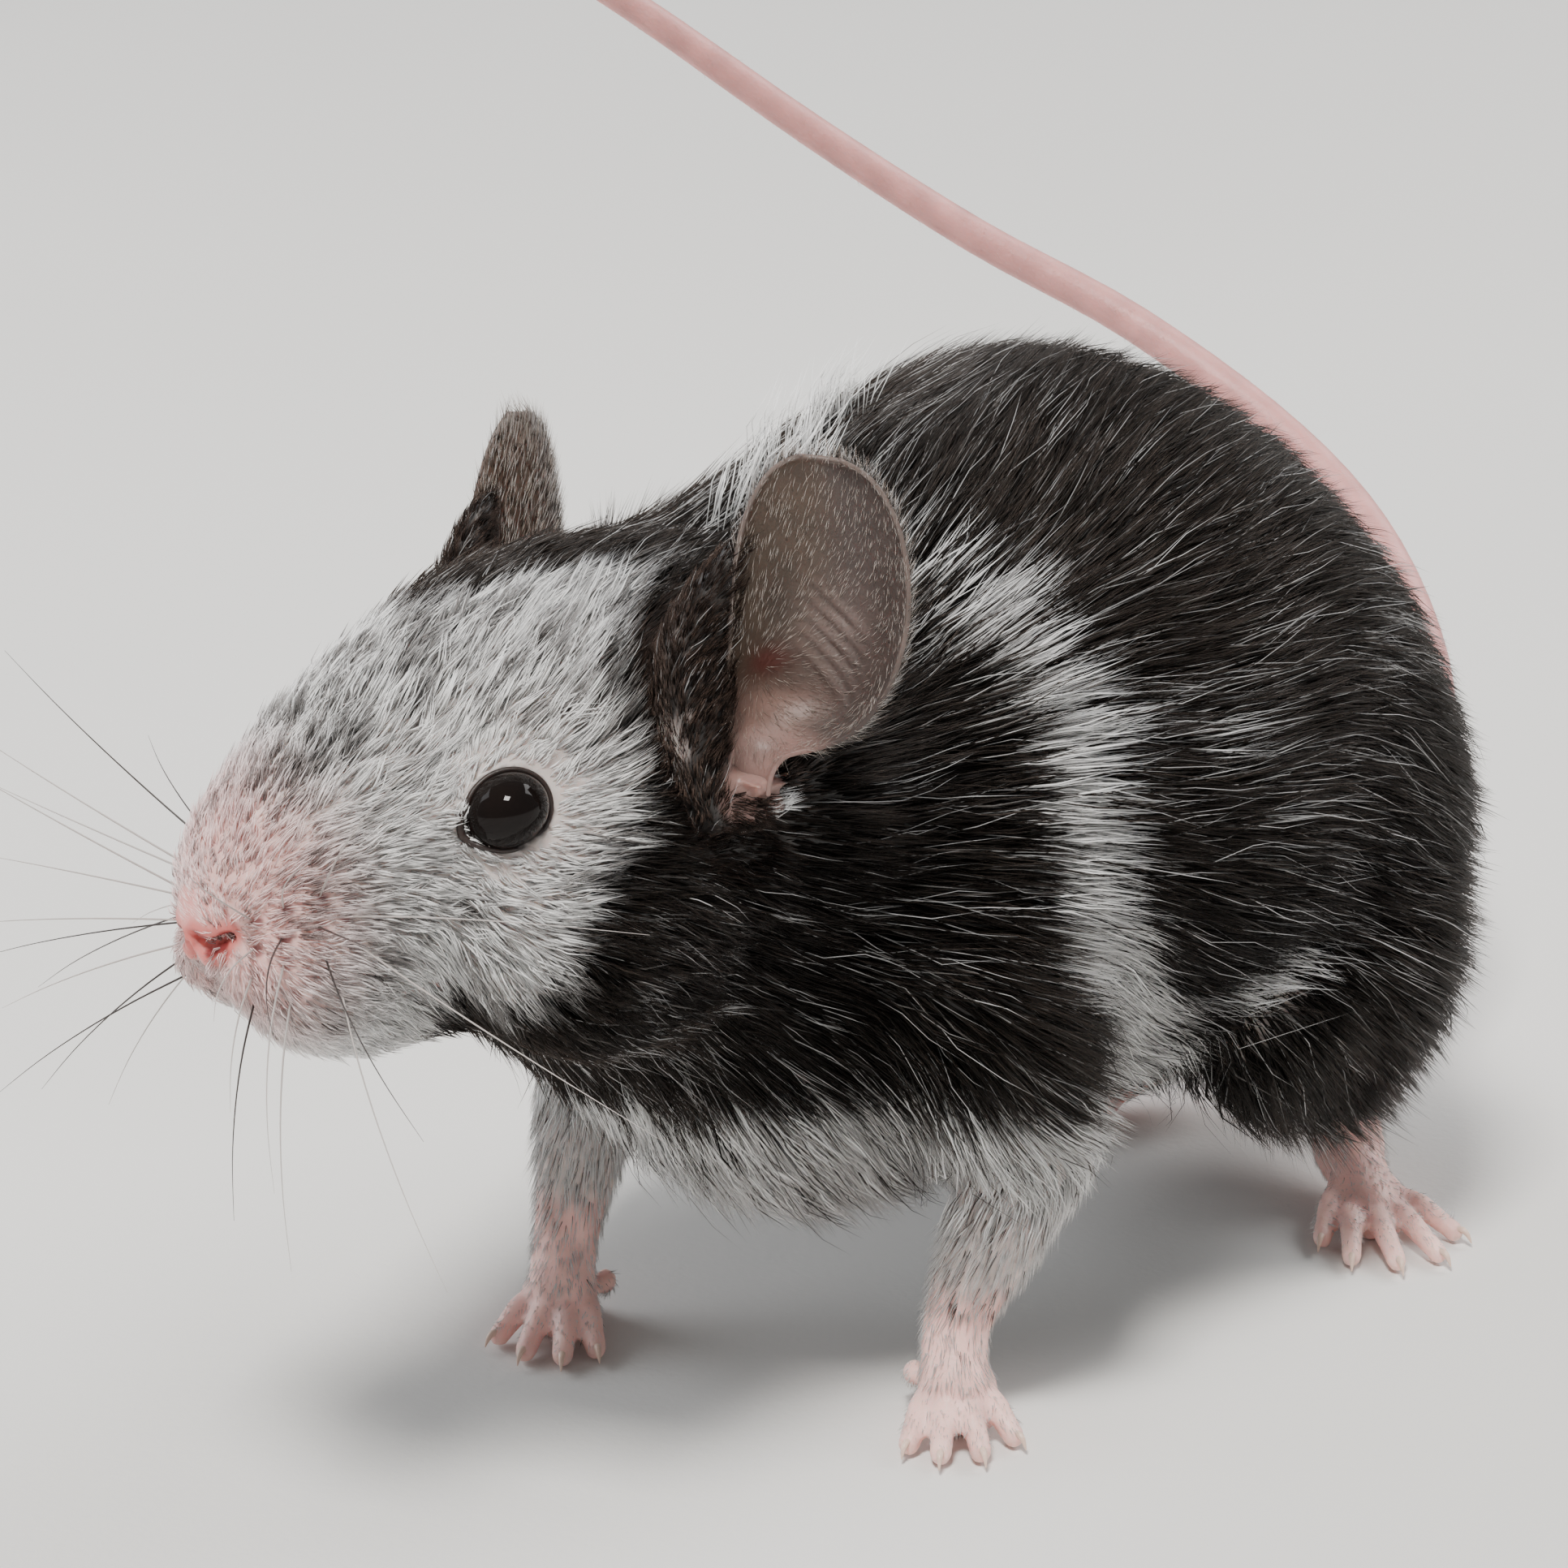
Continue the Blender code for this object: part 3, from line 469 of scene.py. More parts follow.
bm = opened(skin)
rod(bm, WHOLE_TAIL, TAIL_RADII, 24, 5)
for foot in FORE_FEET:
    matrix = foot_frame(foot)
    elbow, wrist = MIDLINE + Vector(foot["elbow"]), MIDLINE + Vector(foot["wrist"])
    knuckles = matrix @ Vector((1.4, 0.0, 1.75))
    rod(bm, [elbow, elbow.lerp(wrist, 0.5), wrist, knuckles], [2.2, 2.0, 1.42, 1.45], 18)
    blob(bm, (1.0, 0.1, 1.55), (1.85, 1.65, 1.05), (0, 22, 0), matrix)
    digits(bm, matrix, FORE_DIGITS, *FORE_TOES)
    blob(bm, (-0.3, -1.7, 1.6), (0.75, 0.5, 0.5), matrix=matrix)
    for pad in FORE_PADS:
        blob(bm, pad, (0.8, 0.66, 0.6), matrix=matrix)
for foot in HIND_FEET:
    matrix = foot_frame(foot)
    knee = MIDLINE + Vector(foot["knee"])
    heel = matrix @ Vector((-SOLE, 0.0, foot["heel_height"] + 1.4))
    ankle = matrix @ Vector((1.4 - SOLE, 0.0, foot["heel_height"] + 2.6))
    instep = matrix @ Vector((-3.5, 0.0, 2.2))
    rod(bm, [knee.lerp(ankle, 0.5), ankle, heel.lerp(ankle, 0.5)], [2.3, 1.75, 1.6], 18)
    rod(bm, [ankle, instep], [1.8, 1.62], 18)
    rod(bm, [heel, instep, matrix @ Vector((0.0, 0.0, 1.3))], [1.35, 1.45, 1.1], 18)
    blob(bm, (-0.9, 0.0, 1.25), (2.2, 1.8, 1.0), (0, 12, 0), matrix)
    digits(bm, matrix, HIND_DIGITS, *HIND_TOES)
    for pad in HIND_PADS:
        blob(bm, pad, (0.85, 0.66, 0.6), matrix=matrix)

# Ears: a thick furry root before each dish.
for ear in EARS:
    rod(bm, EAR_ROOT_LINE, EAR_ROOT_RADII, 20, 4, ear_matrix(ear))
    blob(bm, (-0.75, 0.5, -0.75), (0.95, 0.6, 1.05), matrix=ear_matrix(ear))

# Nose: a pad with a wing over each nostril, and full upper lips that carry the whiskers.
blob(bm, (0.0, 0.85, -0.75), (1.35, 0.95, 1.2), matrix=HEAD)
for side in (1, -1):
    blob(bm, (side * 0.75, 0.72, -0.55), (0.72, 0.68, 0.62), matrix=HEAD)
    blob(bm, (side * 0.62, 0.75, -1.75), (0.66, 0.6, 0.55), matrix=HEAD)
    blob(bm, (side * 2.0, 2.9, -2.4), (1.75, 2.3, 1.6), (0, 0, side * -18), matrix=HEAD)
rough = mesh_object("rough skin", bm)
skin.data = rough.data
bpy.data.objects.remove(rough)
melt(skin, SKIN_GRAIN, 4)
# only the one great surface is kept
bm = opened(skin)
bm.verts.ensure_lookup_table()
island, waiting = {bm.verts[0]}, [bm.verts[0]]
while waiting:
    vert = waiting.pop()
    for edge in vert.link_edges:
        other = edge.other_vert(vert)
        if other not in island:
            island.add(other)
            waiting.append(other)
if len(island) < len(bm.verts) / 2:
    island = set(bm.verts) - island
bmesh.ops.delete(bm, geom=[v for v in bm.verts if v not in island], context="VERTS")
give_back(bm, skin)


# ---- Skin: folds ------------------------------------------------------------
# Fine forms pressed into the melted skin round the nose, the mouth and the eyes; then the parts
# that the coat covers are made with fewer faces, and the lids are laid round the eyes.
TO_HEAD = np.array(HEAD.inverted())


def in_head(rows):
    """Places in the head's own axes."""
    return rows @ TO_HEAD[:3, :3].T + TO_HEAD[:3, 3]


def beside(rows, line):
    """Distance of each place from a line through points, and the line's direction there."""
    line = np.array([tuple(p) for p in line])
    best, way = np.full(len(rows), 1e9), np.zeros((len(rows), 3))
    for a, b in zip(line, line[1:]):
        run = b - a
        share = np.clip((rows - a) @ run / (run @ run), 0.0, 1.0)
        gap = np.linalg.norm(rows - a - share[:, None] * run, axis=1)
        nearer = gap < best
        best[nearer] = gap[nearer]
        way[nearer] = run / np.linalg.norm(run)
    return best, way


def ear_gap(rows, ear, spot):
    """Distance of each place from a spot given in the ear's own axes."""
    return np.linalg.norm(rows - np.array(ear_matrix(ear) @ Vector(spot)), axis=1)


# Each fold: a line in the head's axes, its half width and its depth.
NOSTRIL = [(0.45, -0.3, -1.05), (0.85, 0.0, -1.28), (1.25, 0.4, -1.25), (1.65, 1.0, -0.95)]
PHILTRUM = [(0.0, -0.3, -1.5), (0.0, 0.0, -2.4), (0.0, 0.4, -3.4)]
MOUTH = [(0.0, 0.6, -3.7), (1.2, 1.2, -4.1), (2.6, 3.0, -4.4), (3.7, 5.4, -4.6), (4.3, 7.6, -4.4)]
PAD_EDGE = [(0.0, 0.9, 1.0), (0.9, 1.1, 0.55), (1.6, 1.3, -0.2), (1.8, 1.4, -0.8)]
CHEEK_FOLD = [(4.6, 8.2, 1.2), (5.6, 8.4, 0.2), (6.6, 9.6, -0.5)]
BROW_FOLD = [(3.9, 7.9, 3.0), (4.2, 9.4, 5.2), (5.2, 11.4, 6.0)]
FOLDS = [(NOSTRIL, 0.20, 0.50), (PHILTRUM, 0.16, 0.25), (MOUTH, 0.26, 0.34), (PAD_EDGE, 0.22, 0.10),
         (CHEEK_FOLD, 0.30, 0.10), (BROW_FOLD, 0.35, 0.12)]
bm = opened(skin)
FINE_FROM, FINE_REACH = HEAD @ Vector((0.0, 1.2, -1.8)), 3.6
near = [e for e in bm.edges if (e.verts[0].co - FINE_FROM).length < FINE_REACH]
bmesh.ops.subdivide_edges(bm, edges=near, cuts=1, use_grid_fill=True)
bmesh.ops.triangulate(bm, faces=[f for f in bm.faces if len(f.verts) > 4])
give_back(bm, skin)
rows = places(skin.data)


def mirrored(line, side):
    """The line on one side of the head: 1 is its left, -1 its right."""
    return [(side * x, y, z) for x, y, z in line]


def on_skin(obj, line):
    """The line's points, given in the head's axes, brought onto the surface of the object."""
    faces = [tuple(p.vertices) for p in obj.data.polygons]
    tree = BVHTree.FromPolygons([v.co for v in obj.data.vertices], faces)
    return [tree.find_nearest(HEAD @ Vector(p))[0] for p in line]


pressed = np.zeros(len(rows))
for line, width, depth in FOLDS:
    for side in (1, -1):
        laid = on_skin(skin, smooth_rows(mirrored(line, side), 3))
        gap, _ = beside(rows, laid)
        pressed = np.maximum(pressed, depth * np.exp(-(gap / width) ** 2))
move_to(skin.data, rows - facings(skin.data) * pressed[:, None])

# the coat covers what lies well away from the nose, the feet, the tail and the ears
covered = skin.vertex_groups.new(name="covered")
rows = places(skin.data)
tail_gap, _ = beside(rows, BARE_TAIL)
share = ramp(np.linalg.norm(rows - np.array(nose_tip), axis=1), 9.0, 20.0) * ramp(rows[:, 2], 7.0, 10.0)
share *= ramp(tail_gap, 2.2, 4.0)
for ear in EARS:
    share *= ramp(ear_gap(rows, ear, (-1.0, 0.5, 3.0)), 5.0, 7.0)
for step in range(1, 11):
    chosen = np.nonzero(np.round(share * 10) == step)[0]
    if len(chosen):
        covered.add(chosen.tolist(), step / 10, "REPLACE")
FACES_LEFT = 0.36
fewer = skin.modifiers.new("fewer", "DECIMATE")
fewer.vertex_group = "covered"
fewer.ratio = FACES_LEFT
settle(skin)

# Lids: a dark soft edge round each eye ball, drawn out to a point at the front corner.
EYE_BALL = 1.66                            # radius of the ball
EYE_OPENING = 1.58                         # radius at which the ball leaves the lids
LID = 0.11                                 # radius of the lid's edge
EYE_HEIGHT = 0.87                          # height of ball and opening for a width of 1
lid_rings = []
bm = opened(skin)
skin_points = len(bm.verts)
for side, place in ((1, eye_left), (-1, eye_right)):
    out = (HEAD.to_3x3() @ Vector((side * 0.93, -0.24, 0.26))).normalized()
    front = HEAD.to_3x3() @ Vector((side * 0.15, -1.0, -0.25))
    front = (front - out * front.dot(out)).normalized()
    top = out.cross(front)
    circle, angles = [], np.linspace(0.0, 2 * pi, 25)
    for a in angles:
        corner = max(0.0, cos(a)) ** 10
        wide = (EYE_OPENING + LID * 0.7) * (1.0 + 0.17 * corner)
        rise = (EYE_BALL ** 2 - EYE_OPENING ** 2) ** 0.5 - 0.16 - 0.30 * corner
        circle.append(place + (front * cos(a) + top * sin(a) * EYE_HEIGHT) * wide + out * rise)
    rod(bm, circle, [LID * (1.0 + 0.5 * max(0.0, cos(a)) ** 6) for a in angles], 10, 2, closed=True)
    lid_rings.append((np.array(place), np.array(out), np.array(top)))
give_back(bm, skin)


def from_eye(rows, ring):
    """Distance from an eye's axis, counted so that the lids' oval is a circle, and height along the axis."""
    middle, out, top = ring
    away = rows - middle
    rise = away @ out
    away = away - rise[:, None] * out
    return np.sqrt((away ** 2).sum(axis=1) + (away @ top) ** 2 * (1.0 / EYE_HEIGHT ** 2 - 1.0)), rise


# ---- Markings ---------------------------------------------------------------
# What skin and coat share: white mask, nape tuft, band behind the shoulder, flank stripe,
# pale belly, silver forelegs, and single white hairs all over the dark coat,
# with more of them over the top of the back and in a streak up the flank, partly as painted sheen.
TRUNK_MIDDLE = 19.96                       # the trunk's middle, from left to right
MARK_HEIGHT = 1.1                          # how far over the trunk's skin the coat's marks are read


def mottle(rows, size, seed):
    """A soft uneven field, mostly from -1 to 1, whose patches have about the given size."""
    dice = np.random.default_rng(seed)
    ways = dice.normal(size=(9, 3))
    ways *= dice.uniform(0.7, 1.4, (9, 1)) * pi / size / np.linalg.norm(ways, axis=1)[:, None]
    return np.sin(rows @ ways.T + dice.uniform(0.0, 2 * pi, 9)).sum(axis=1) / 2.6


# How far back the mask reaches, by the angle round the head from its left side over the crown.
MASK_ANGLES = [-90, -40, -16, 0, 14, 31, 45, 57, 68, 76, 80, 84, 92, 110, 135, 160, 180, 200, 225, 270]
MASK_REACH = [8.6, 9.2, 10.4, 12.6, 14.6, 16.2, 15.8, 16.0, 17.9, 20.4, 16.0, 11.5, 10.0, 9.8, 11.0, 12.5,
              12.0, 10.0, 9.2, 8.6]
# Lines of the white marks over the flank and the nape.
BAND = [(25.6, -9.2, 38.0), (28.7, -8.2, 35.8), (31.0, -6.9, 33.4), (32.7, -6.8, 29.8), (33.5, -6.6, 24.9),
        (33.3, -6.7, 21.5), (32.8, -4.1, 17.8), (30.9, -1.0, 14.2), (28.5, 0.5, 11.5)]
BRANCH = [(33.2, -5.6, 28.5), (33.7, -1.8, 29.5), (33.6, 0.4, 28.6)]
STRIPE = [(28.9, -0.7, 9.8), (30.1, 1.0, 11.5), (32.4, 3.3, 14.5), (32.8, 5.8, 15.8)]
PATCH = [(31.6, -3.6, 14.8), (30.4, -1.6, 12.8)]
FOLD_STRIPE = [(27.2, 2.0, 9.6), (28.6, 2.0, 10.9), (30.4, 2.2, 12.6)]
# A faint streak of silver hairs up the flank behind the stripe, partly painted sheen.
SHEEN_STREAK = [(33.4, 7.1, 17.0), (34.2, 7.5, 21.1), (34.5, 7.4, 25.1)]
RUMP_PATCH = [(33.2, 10.8, 27.5), (32.0, 12.5, 30.0)]
NAPE = [(19.8, -15.6, 38.0), (18.1, -10.8, 38.7), (16.5, -6.6, 39.6)]
# Each mark: its line, its half width, its share of white hairs, and the softness of its edge.
MARKS = [
    (BAND, 1.65, 0.98, 0.8), (BRANCH, 0.9, 0.5, 1.4), (STRIPE, 1.0, 0.97, 0.6),
    (FOLD_STRIPE, 1.2, 0.95, 0.6), (PATCH, 1.7, 0.97, 0.8), (SHEEN_STREAK, 0.8, 0.3, 1.6),
    (RUMP_PATCH, 1.2, 0.28, 1.8), (NAPE, 0.8, 0.5, 1.3),
]


def mask_of(rows):
    """How far each place belongs to the pale face, from 0 to 1."""
    head = in_head(rows)
    angle = np.degrees(np.arctan2(head[:, 2] + 1.0, head[:, 0]))
    angle = np.where(angle < -90.0, angle + 360.0, angle)
    reach = np.interp(angle, MASK_ANGLES, MASK_REACH)
    mask = ramp(reach + 0.5 * mottle(rows, 2.6, 3) + 0.35 * mottle(rows, 0.9, 4) - head[:, 1], -1.5, 1.1)
    for ear in EARS:
        gap, _ = beside(rows, [ear_matrix(ear) @ Vector(p) for p in EAR_ROOT_LINE])
        mask *= ramp(gap, 1.7, 2.9)
    return mask


def white_share(rows):
    """The share of white hairs at each place, from 0 to 1."""
    uneven = mottle(rows, 2.2, 5)
    fine = mottle(rows, 1.1, 6)
    share = 0.055 + 0.035 * mottle(rows, 6.0, 7)
    # More pale hairs over the top of the back near the shoulders: partly silver hairs, partly painted sheen
    # where the lamp from above lights the back.
    share += 0.05 * ramp(rows[:, 2], 28.0, 37.0) * ramp(4.0 - np.abs(rows[:, 1] + 6.0), -6.0, 4.0)
    for line, width, amount, edge in MARKS:
        gap, _ = beside(rows, line)
        if line is BAND:
            amount = amount * ramp(41.0 - rows[:, 2], 0.0, 8.0)
        share = np.maximum(share, amount * ramp(width + edge * 0.35 * (uneven + fine) - gap, -edge, edge))
    low = 11.6 + 1.0 * mottle(rows, 4.0, 8) - 0.10 * np.abs(rows[:, 0] - TRUNK_MIDDLE)
    belly = 0.92 * ramp(low - rows[:, 2], -1.2, 1.2)
    belly *= 1.0 - ramp(np.abs(rows[:, 0] - TRUNK_MIDDLE), 7.0, 9.0) * ramp(rows[:, 1], 0.5, 2.5)
    belly *= 1.0 - ramp(-rows[:, 1], 3.0, 7.0) * (0.52 + 0.30 * ramp(rows[:, 0] - TRUNK_MIDDLE, -3.0, 4.0))
    share = np.maximum(share, belly * ramp(17.0 - rows[:, 1], -1.0, 4.0))
    foreleg = ramp(13.8 - rows[:, 2] + 0.6 * uneven, -1.0, 1.6) * ramp(-3.0 - rows[:, 1], 0.0, 3.0)
    share = np.maximum(share, 0.86 * foreleg)
    share = np.maximum(share, 0.97 * ramp(5.6 - rows[:, 2], -0.5, 1.5))
    head = in_head(rows)
    mask = mask_of(rows)
    bridge = np.exp(-(((head[:, 1] - 6.0) / 2.3) ** 2 + ((np.abs(head[:, 0]) - 2.8) / 1.5) ** 2
                      + ((head[:, 2] - 5.4) / 1.7) ** 2))
    face = 0.83 + 0.13 * mottle(rows, 1.5, 9) - 0.36 * bridge
    face -= 0.22 * ramp(head[:, 2], 3.0, 8.0)
    for ring in lid_rings:
        off_axis, rise = from_eye(rows, ring)
        face += 0.30 * np.exp(-((off_axis - 2.9) / 1.3) ** 2) * ramp(rise, -1.5, 0.0)
    chin = ramp(-3.2 - head[:, 2], 0.0, 1.5) * ramp(9.0 - head[:, 1], 0.0, 3.0)
    face += (0.97 - face) * chin
    return np.clip(share * (1.0 - mask) + face * mask, 0.0, 1.0)


# ---- Skin colour ------------------------------------------------------------
# Pink where it is bare, dark brown-grey under the dark coat, pale pink-grey under the white hairs.
PINK, PALE_PINK, PAW_PINK = (0.76, 0.36, 0.32), (0.80, 0.50, 0.46), (0.88, 0.55, 0.50)
NOSE_PINK, DEEP_PINK, NOSTRIL_RED_SHADE = (0.74, 0.33, 0.30), (0.62, 0.17, 0.15), (0.20, 0.02, 0.02)
UNDER_WHITE, UNDER_DARK, LID_BROWN = (0.60, 0.51, 0.48), (0.020, 0.017, 0.016), (0.020, 0.011, 0.009)
WHISKER_ROOT, EAR_PINK = (0.22, 0.07, 0.07), (0.26, 0.155, 0.135)
# Where the whiskers leave the upper lip, row by row from the nose backwards, in the head's axes.
WHISKER_ROWS = [
    [(2.6, 1.7, -0.3), (3.1, 2.7, 0.0), (3.7, 3.8, 0.3)],
    [(2.8, 1.5, -1.3), (3.4, 2.5, -1.0), (3.9, 3.5, -0.7), (4.3, 4.5, -0.4)],
    [(2.8, 1.5, -2.2), (3.5, 2.5, -1.9), (4.0, 3.5, -1.6), (4.5, 4.6, -1.3)],
    [(2.5, 1.7, -3.0), (3.3, 2.7, -2.7), (4.0, 3.9, -2.5)],
]


def blend(low, high, share):
    """Rows of colours mixed towards another by a share for each row."""
    return low + (np.array(high) - low) * share[:, None]


rows = places(skin.data)
head = in_head(rows)
tone = np.tile(np.array(UNDER_DARK), (len(rows), 1))
tone = blend(tone, UNDER_WHITE, ramp(white_share(rows + facings(skin.data) * MARK_HEIGHT), 0.2, 0.7))
muzzle = ramp(7.0 - np.linalg.norm(head - (0.0, 1.0, -0.8), axis=1), 0.0, 3.0)
tone = blend(tone, PALE_PINK, muzzle)
nose_gap = np.linalg.norm((head - (0.0, 0.0, -0.9)) / (1.0, 1.0, 1.15), axis=1)
tone = blend(tone, NOSE_PINK, ramp(2.5 - nose_gap, 0.0, 1.2))
whisker_roots, nostril_lines = {}, []
for side in (1, -1):
    # The inside of each nostril is painted near-black red: partly the nostril's own red skin, partly painted
    # shade of the opening, which is only a pressed groove.
    for line, colour, reach, amount in ((NOSTRIL, DEEP_PINK, 0.8, 1.0), (NOSTRIL, NOSTRIL_RED_SHADE, 0.30, 1.0),
                                        (PHILTRUM, DEEP_PINK, 0.45, 0.7), (MOUTH, DEEP_PINK, 0.45, 0.6)):
        gap, _ = beside(rows, on_skin(skin, smooth_rows(mirrored(line, side), 3)))
        tone = blend(tone, colour, amount * ramp(reach - gap, 0.0, 0.6 * reach))
    nostril_lines.append(on_skin(skin, smooth_rows(mirrored(NOSTRIL, side), 3)))
    for number, row in enumerate(WHISKER_ROWS):
        whisker_roots[side, number] = on_skin(skin, mirrored(row, side))
        for spot in whisker_roots[side, number]:
            gap = np.linalg.norm(rows - np.array(spot), axis=1)
            tone = blend(tone, WHISKER_ROOT, 0.85 * ramp(0.36 - gap, 0.0, 0.2))
for ear in EARS:
    tone = blend(tone, EAR_PINK, ramp(1.5 - ear_gap(rows, ear, (-0.7, 0.2, -0.4)), 0.0, 0.5))
tail_gap, _ = beside(rows, BARE_TAIL)
on_tail = ramp(3.2 - tail_gap, 0.0, 0.6)
on_tail *= np.maximum(ramp(rows[:, 1], 20.5, 22.5), rows[:, 2] > 42.0)
bare = np.maximum(on_tail, ramp(6.6 - rows[:, 2], 0.0, 2.4))
tone = blend(tone, PINK, bare)
tone = blend(tone, PAW_PINK, bare * (1.0 - on_tail))
tone *= 1.0 - (0.20, 0.17, 0.12) * on_tail[:, None]
tone[skin_points:] = LID_BROWN
for ring in lid_rings:
    off_axis, rise = from_eye(rows, ring)
    tone = blend(tone, LID_BROWN, ramp(1.84 - off_axis, 0.0, 0.12) * ramp(rise, -0.6, 0.0))
tone *= 1.0 + 0.06 * mottle(rows, 0.9, 21)[:, None]


def paint(mesh, colours, name="tone"):
    """Keep a colour at each point of a mesh."""
    layer = mesh.color_attributes.new(name, "FLOAT_COLOR", "POINT")
    full = np.ones((len(colours), 4), np.float32)
    full[:, :3] = np.clip(colours, 0.0, 1.0)
    layer.data.foreach_set("color", full.ravel())


def painted_finish(name, roughness, specular):
    """A material whose base colour is the tone kept at the mesh's points."""
    made, shader, start = finish_of(name, roughness, specular)
    painted = start.node("ShaderNodeVertexColor", {"layer_name": "tone"})
    start.tree.links.new(painted.outputs["Color"], shader.inputs["Base Color"])
    return made, shader, start


def let_light_in(shader, weight, radius, depth):
    """Let light scatter under the surface."""
    shader.inputs["Subsurface Weight"].default_value = weight
    shader.inputs["Subsurface Radius"].default_value = radius
    shader.inputs["Subsurface Scale"].default_value = depth


RING_STEP = 0.36                           # from one ring of the tail's scales to the next
TAIL_SPAN = 100.0                          # the length that the paint along the tail counts as 1
paint(skin.data, tone)
bare_skin, shader, start = painted_finish("bare skin", 0.46, 0.45)
ring_data = start.node("ShaderNodeVertexColor", {"layer_name": "rings"})
parts = start.node("ShaderNodeSeparateColor", Color=Field(start.tree, ring_data.outputs["Color"]))
along_tail, ringed = Field(start.tree, parts.outputs["Red"]), Field(start.tree, parts.outputs["Green"])
counted = along_tail * (TAIL_SPAN / RING_STEP) + grain(start, 500.0) * 0.6
rings = counted.math("FRACT", counted)
pores = grain(start, 5200.0, 3.0) * 0.7 + grain(start, 1600.0, 2.0)
relief(start, shader, pores + rings * ringed * 0.9, 0.00006, 0.6)
let_light_in(shader, 0.35, (1.0, 0.35, 0.22), 0.0012)


def surface_of(mesh):
    """A mesh as numbers: points, normals, the corners of its triangles, their areas and middles."""
    points, normals = places(mesh), facings(mesh)
    mesh.calc_loop_triangles()
    corners = np.empty(len(mesh.loop_triangles) * 3, np.int64)
    mesh.loop_triangles.foreach_get("vertices", corners)
    corners = corners.reshape(-1, 3)
    a, b, c = (points[corners[:, k]] for k in range(3))
    return points, normals, corners, np.linalg.norm(np.cross(b - a, c - a), axis=1) / 2, (a + b + c) / 3


skin_surface = surface_of(skin.data)
skin_faces = [tuple(p.vertices) for p in skin.data.polygons]
skin_tree = BVHTree.FromPolygons([Vector(r) for r in rows], skin_faces)

# Rings of fine scales go round the tail, so each point of the skin keeps how far along the tail it lies.
tail_line = np.array([row[:3] for row in smooth_rows([tuple(p) for p in WHOLE_TAIL], 5)])
steps = np.linalg.norm(np.diff(tail_line, axis=0), axis=1)
best, along = np.full(len(rows), 1e9), np.zeros(len(rows))
for a, b, before, step in zip(tail_line, tail_line[1:], np.cumsum(steps) - steps, steps):
    share = np.clip((rows - a) @ (b - a) / step ** 2, 0.0, 1.0)
    gap = np.linalg.norm(rows - a - share[:, None] * (b - a), axis=1)
    nearer = gap < best
    best[nearer], along[nearer] = gap[nearer], (before + share * step)[nearer]
paint(skin.data, np.stack([along / TAIL_SPAN, on_tail, on_tail], axis=1), "rings")

skin.data.transform(Matrix.Scale(MM, 4))
skin.data.shade_smooth()
skin.data.materials.append(bare_skin)
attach(skin, "root")
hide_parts(*TRUNK, "forepaw_left", "forepaw_right", "hind_foot_left", "hind_foot_right",
            "tail_root", "tail_middle", "tail_end", "tail_tip")


# ---- Eyes -------------------------------------------------------------------
# Two black eyes, wet and glossy, a little wider than they are high, and a little
# raised at the front where the cornea is.
CORNEA = 0.10
eye_black, shader, start = finish_of("wet black eye", 0.02, 0.13)
tint(start, shader, grain(start, 700.0), (0.004, 0.003, 0.003), (0.009, 0.006, 0.005))
for name, place, (_, out, top) in zip(("eye_left", "eye_right"), (eye_left, eye_right), lid_rings):
    bm = bmesh.new()
    bmesh.ops.create_uvsphere(bm, u_segments=64, v_segments=40, radius=EYE_BALL)
    for vert in bm.verts:
        vert.co.z += CORNEA * max(0.0, vert.co.z / EYE_BALL) ** 4
        vert.co.y *= EYE_HEIGHT
    turn = Matrix((np.cross(top, out), top, out)).transposed().to_4x4()
    bmesh.ops.transform(bm, matrix=Matrix.Scale(MM, 4) @ Matrix.Translation(place) @ turn, verts=bm.verts)
    eye = mesh_object(name.replace("eye", "eyeball"), bm)
    eye.data.shade_smooth()
    eye.data.materials.append(eye_black)
    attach(eye, "root")
    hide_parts(name)


# ---- Ears -------------------------------------------------------------------
# Thin dishes of nearly bare skin, rolled to a funnel at the root, with a rounded rim
# and slanting folds across the inside.
EAR_LENGTH = 12.3
EAR_BEND_BACK = 1.4
EAR_WALL = 0.19
EAR_EDGE = 0.06                            # how far the rim's edge is rounded
FOLD_CRESTS = (0.33, 0.385, 0.44, 0.495, 0.55)
FOLD_HEIGHT = 0.20
# Share of the length, half width, curl in degrees, and shift of the middle towards the back edge.
EAR_ROWS = [
    (-0.03, 0.80, 80.0, -0.80), (0.015, 0.80, 80.0, -0.78), (0.06, 0.86, 80.0, -0.70),
    (0.105, 1.05, 82.0, -0.45),
    (0.14, 1.7, 86.0, 0.05), (0.19, 2.3, 88.0, 0.5), (0.26, 2.75, 86.0, 0.75), (0.38, 3.1, 76.0, 1.1),
    (0.54, 3.3, 64.0, 1.2), (0.70, 3.2, 54.0, 1.1), (0.83, 2.8, 46.0, 0.95), (0.92, 2.2, 38.0, 0.8),
    (0.97, 1.55, 32.0, 0.7), (1.0, 0.75, 28.0, 0.6),
]
ear_skin, shader, start = painted_finish("ear skin", 0.5, 0.4)
relief(start, shader, grain(start, 6000.0, 3.0) + grain(start, 2200.0), 0.00005, 0.5)
let_light_in(shader, 0.15, (1.0, 0.4, 0.25), 0.0009)
EAR_COLUMNS, EAR_STEPS = 50, 20
ear_surfaces = {}
fine_rows = np.array(smooth_rows(EAR_ROWS, EAR_STEPS))
shares = np.concatenate([np.linspace(-0.03, 0.9, 96), np.linspace(0.9, 1.0, 13)[1:]])
table = np.stack([np.interp(shares, fine_rows[:, 0], column) for column in fine_rows.T], axis=1)
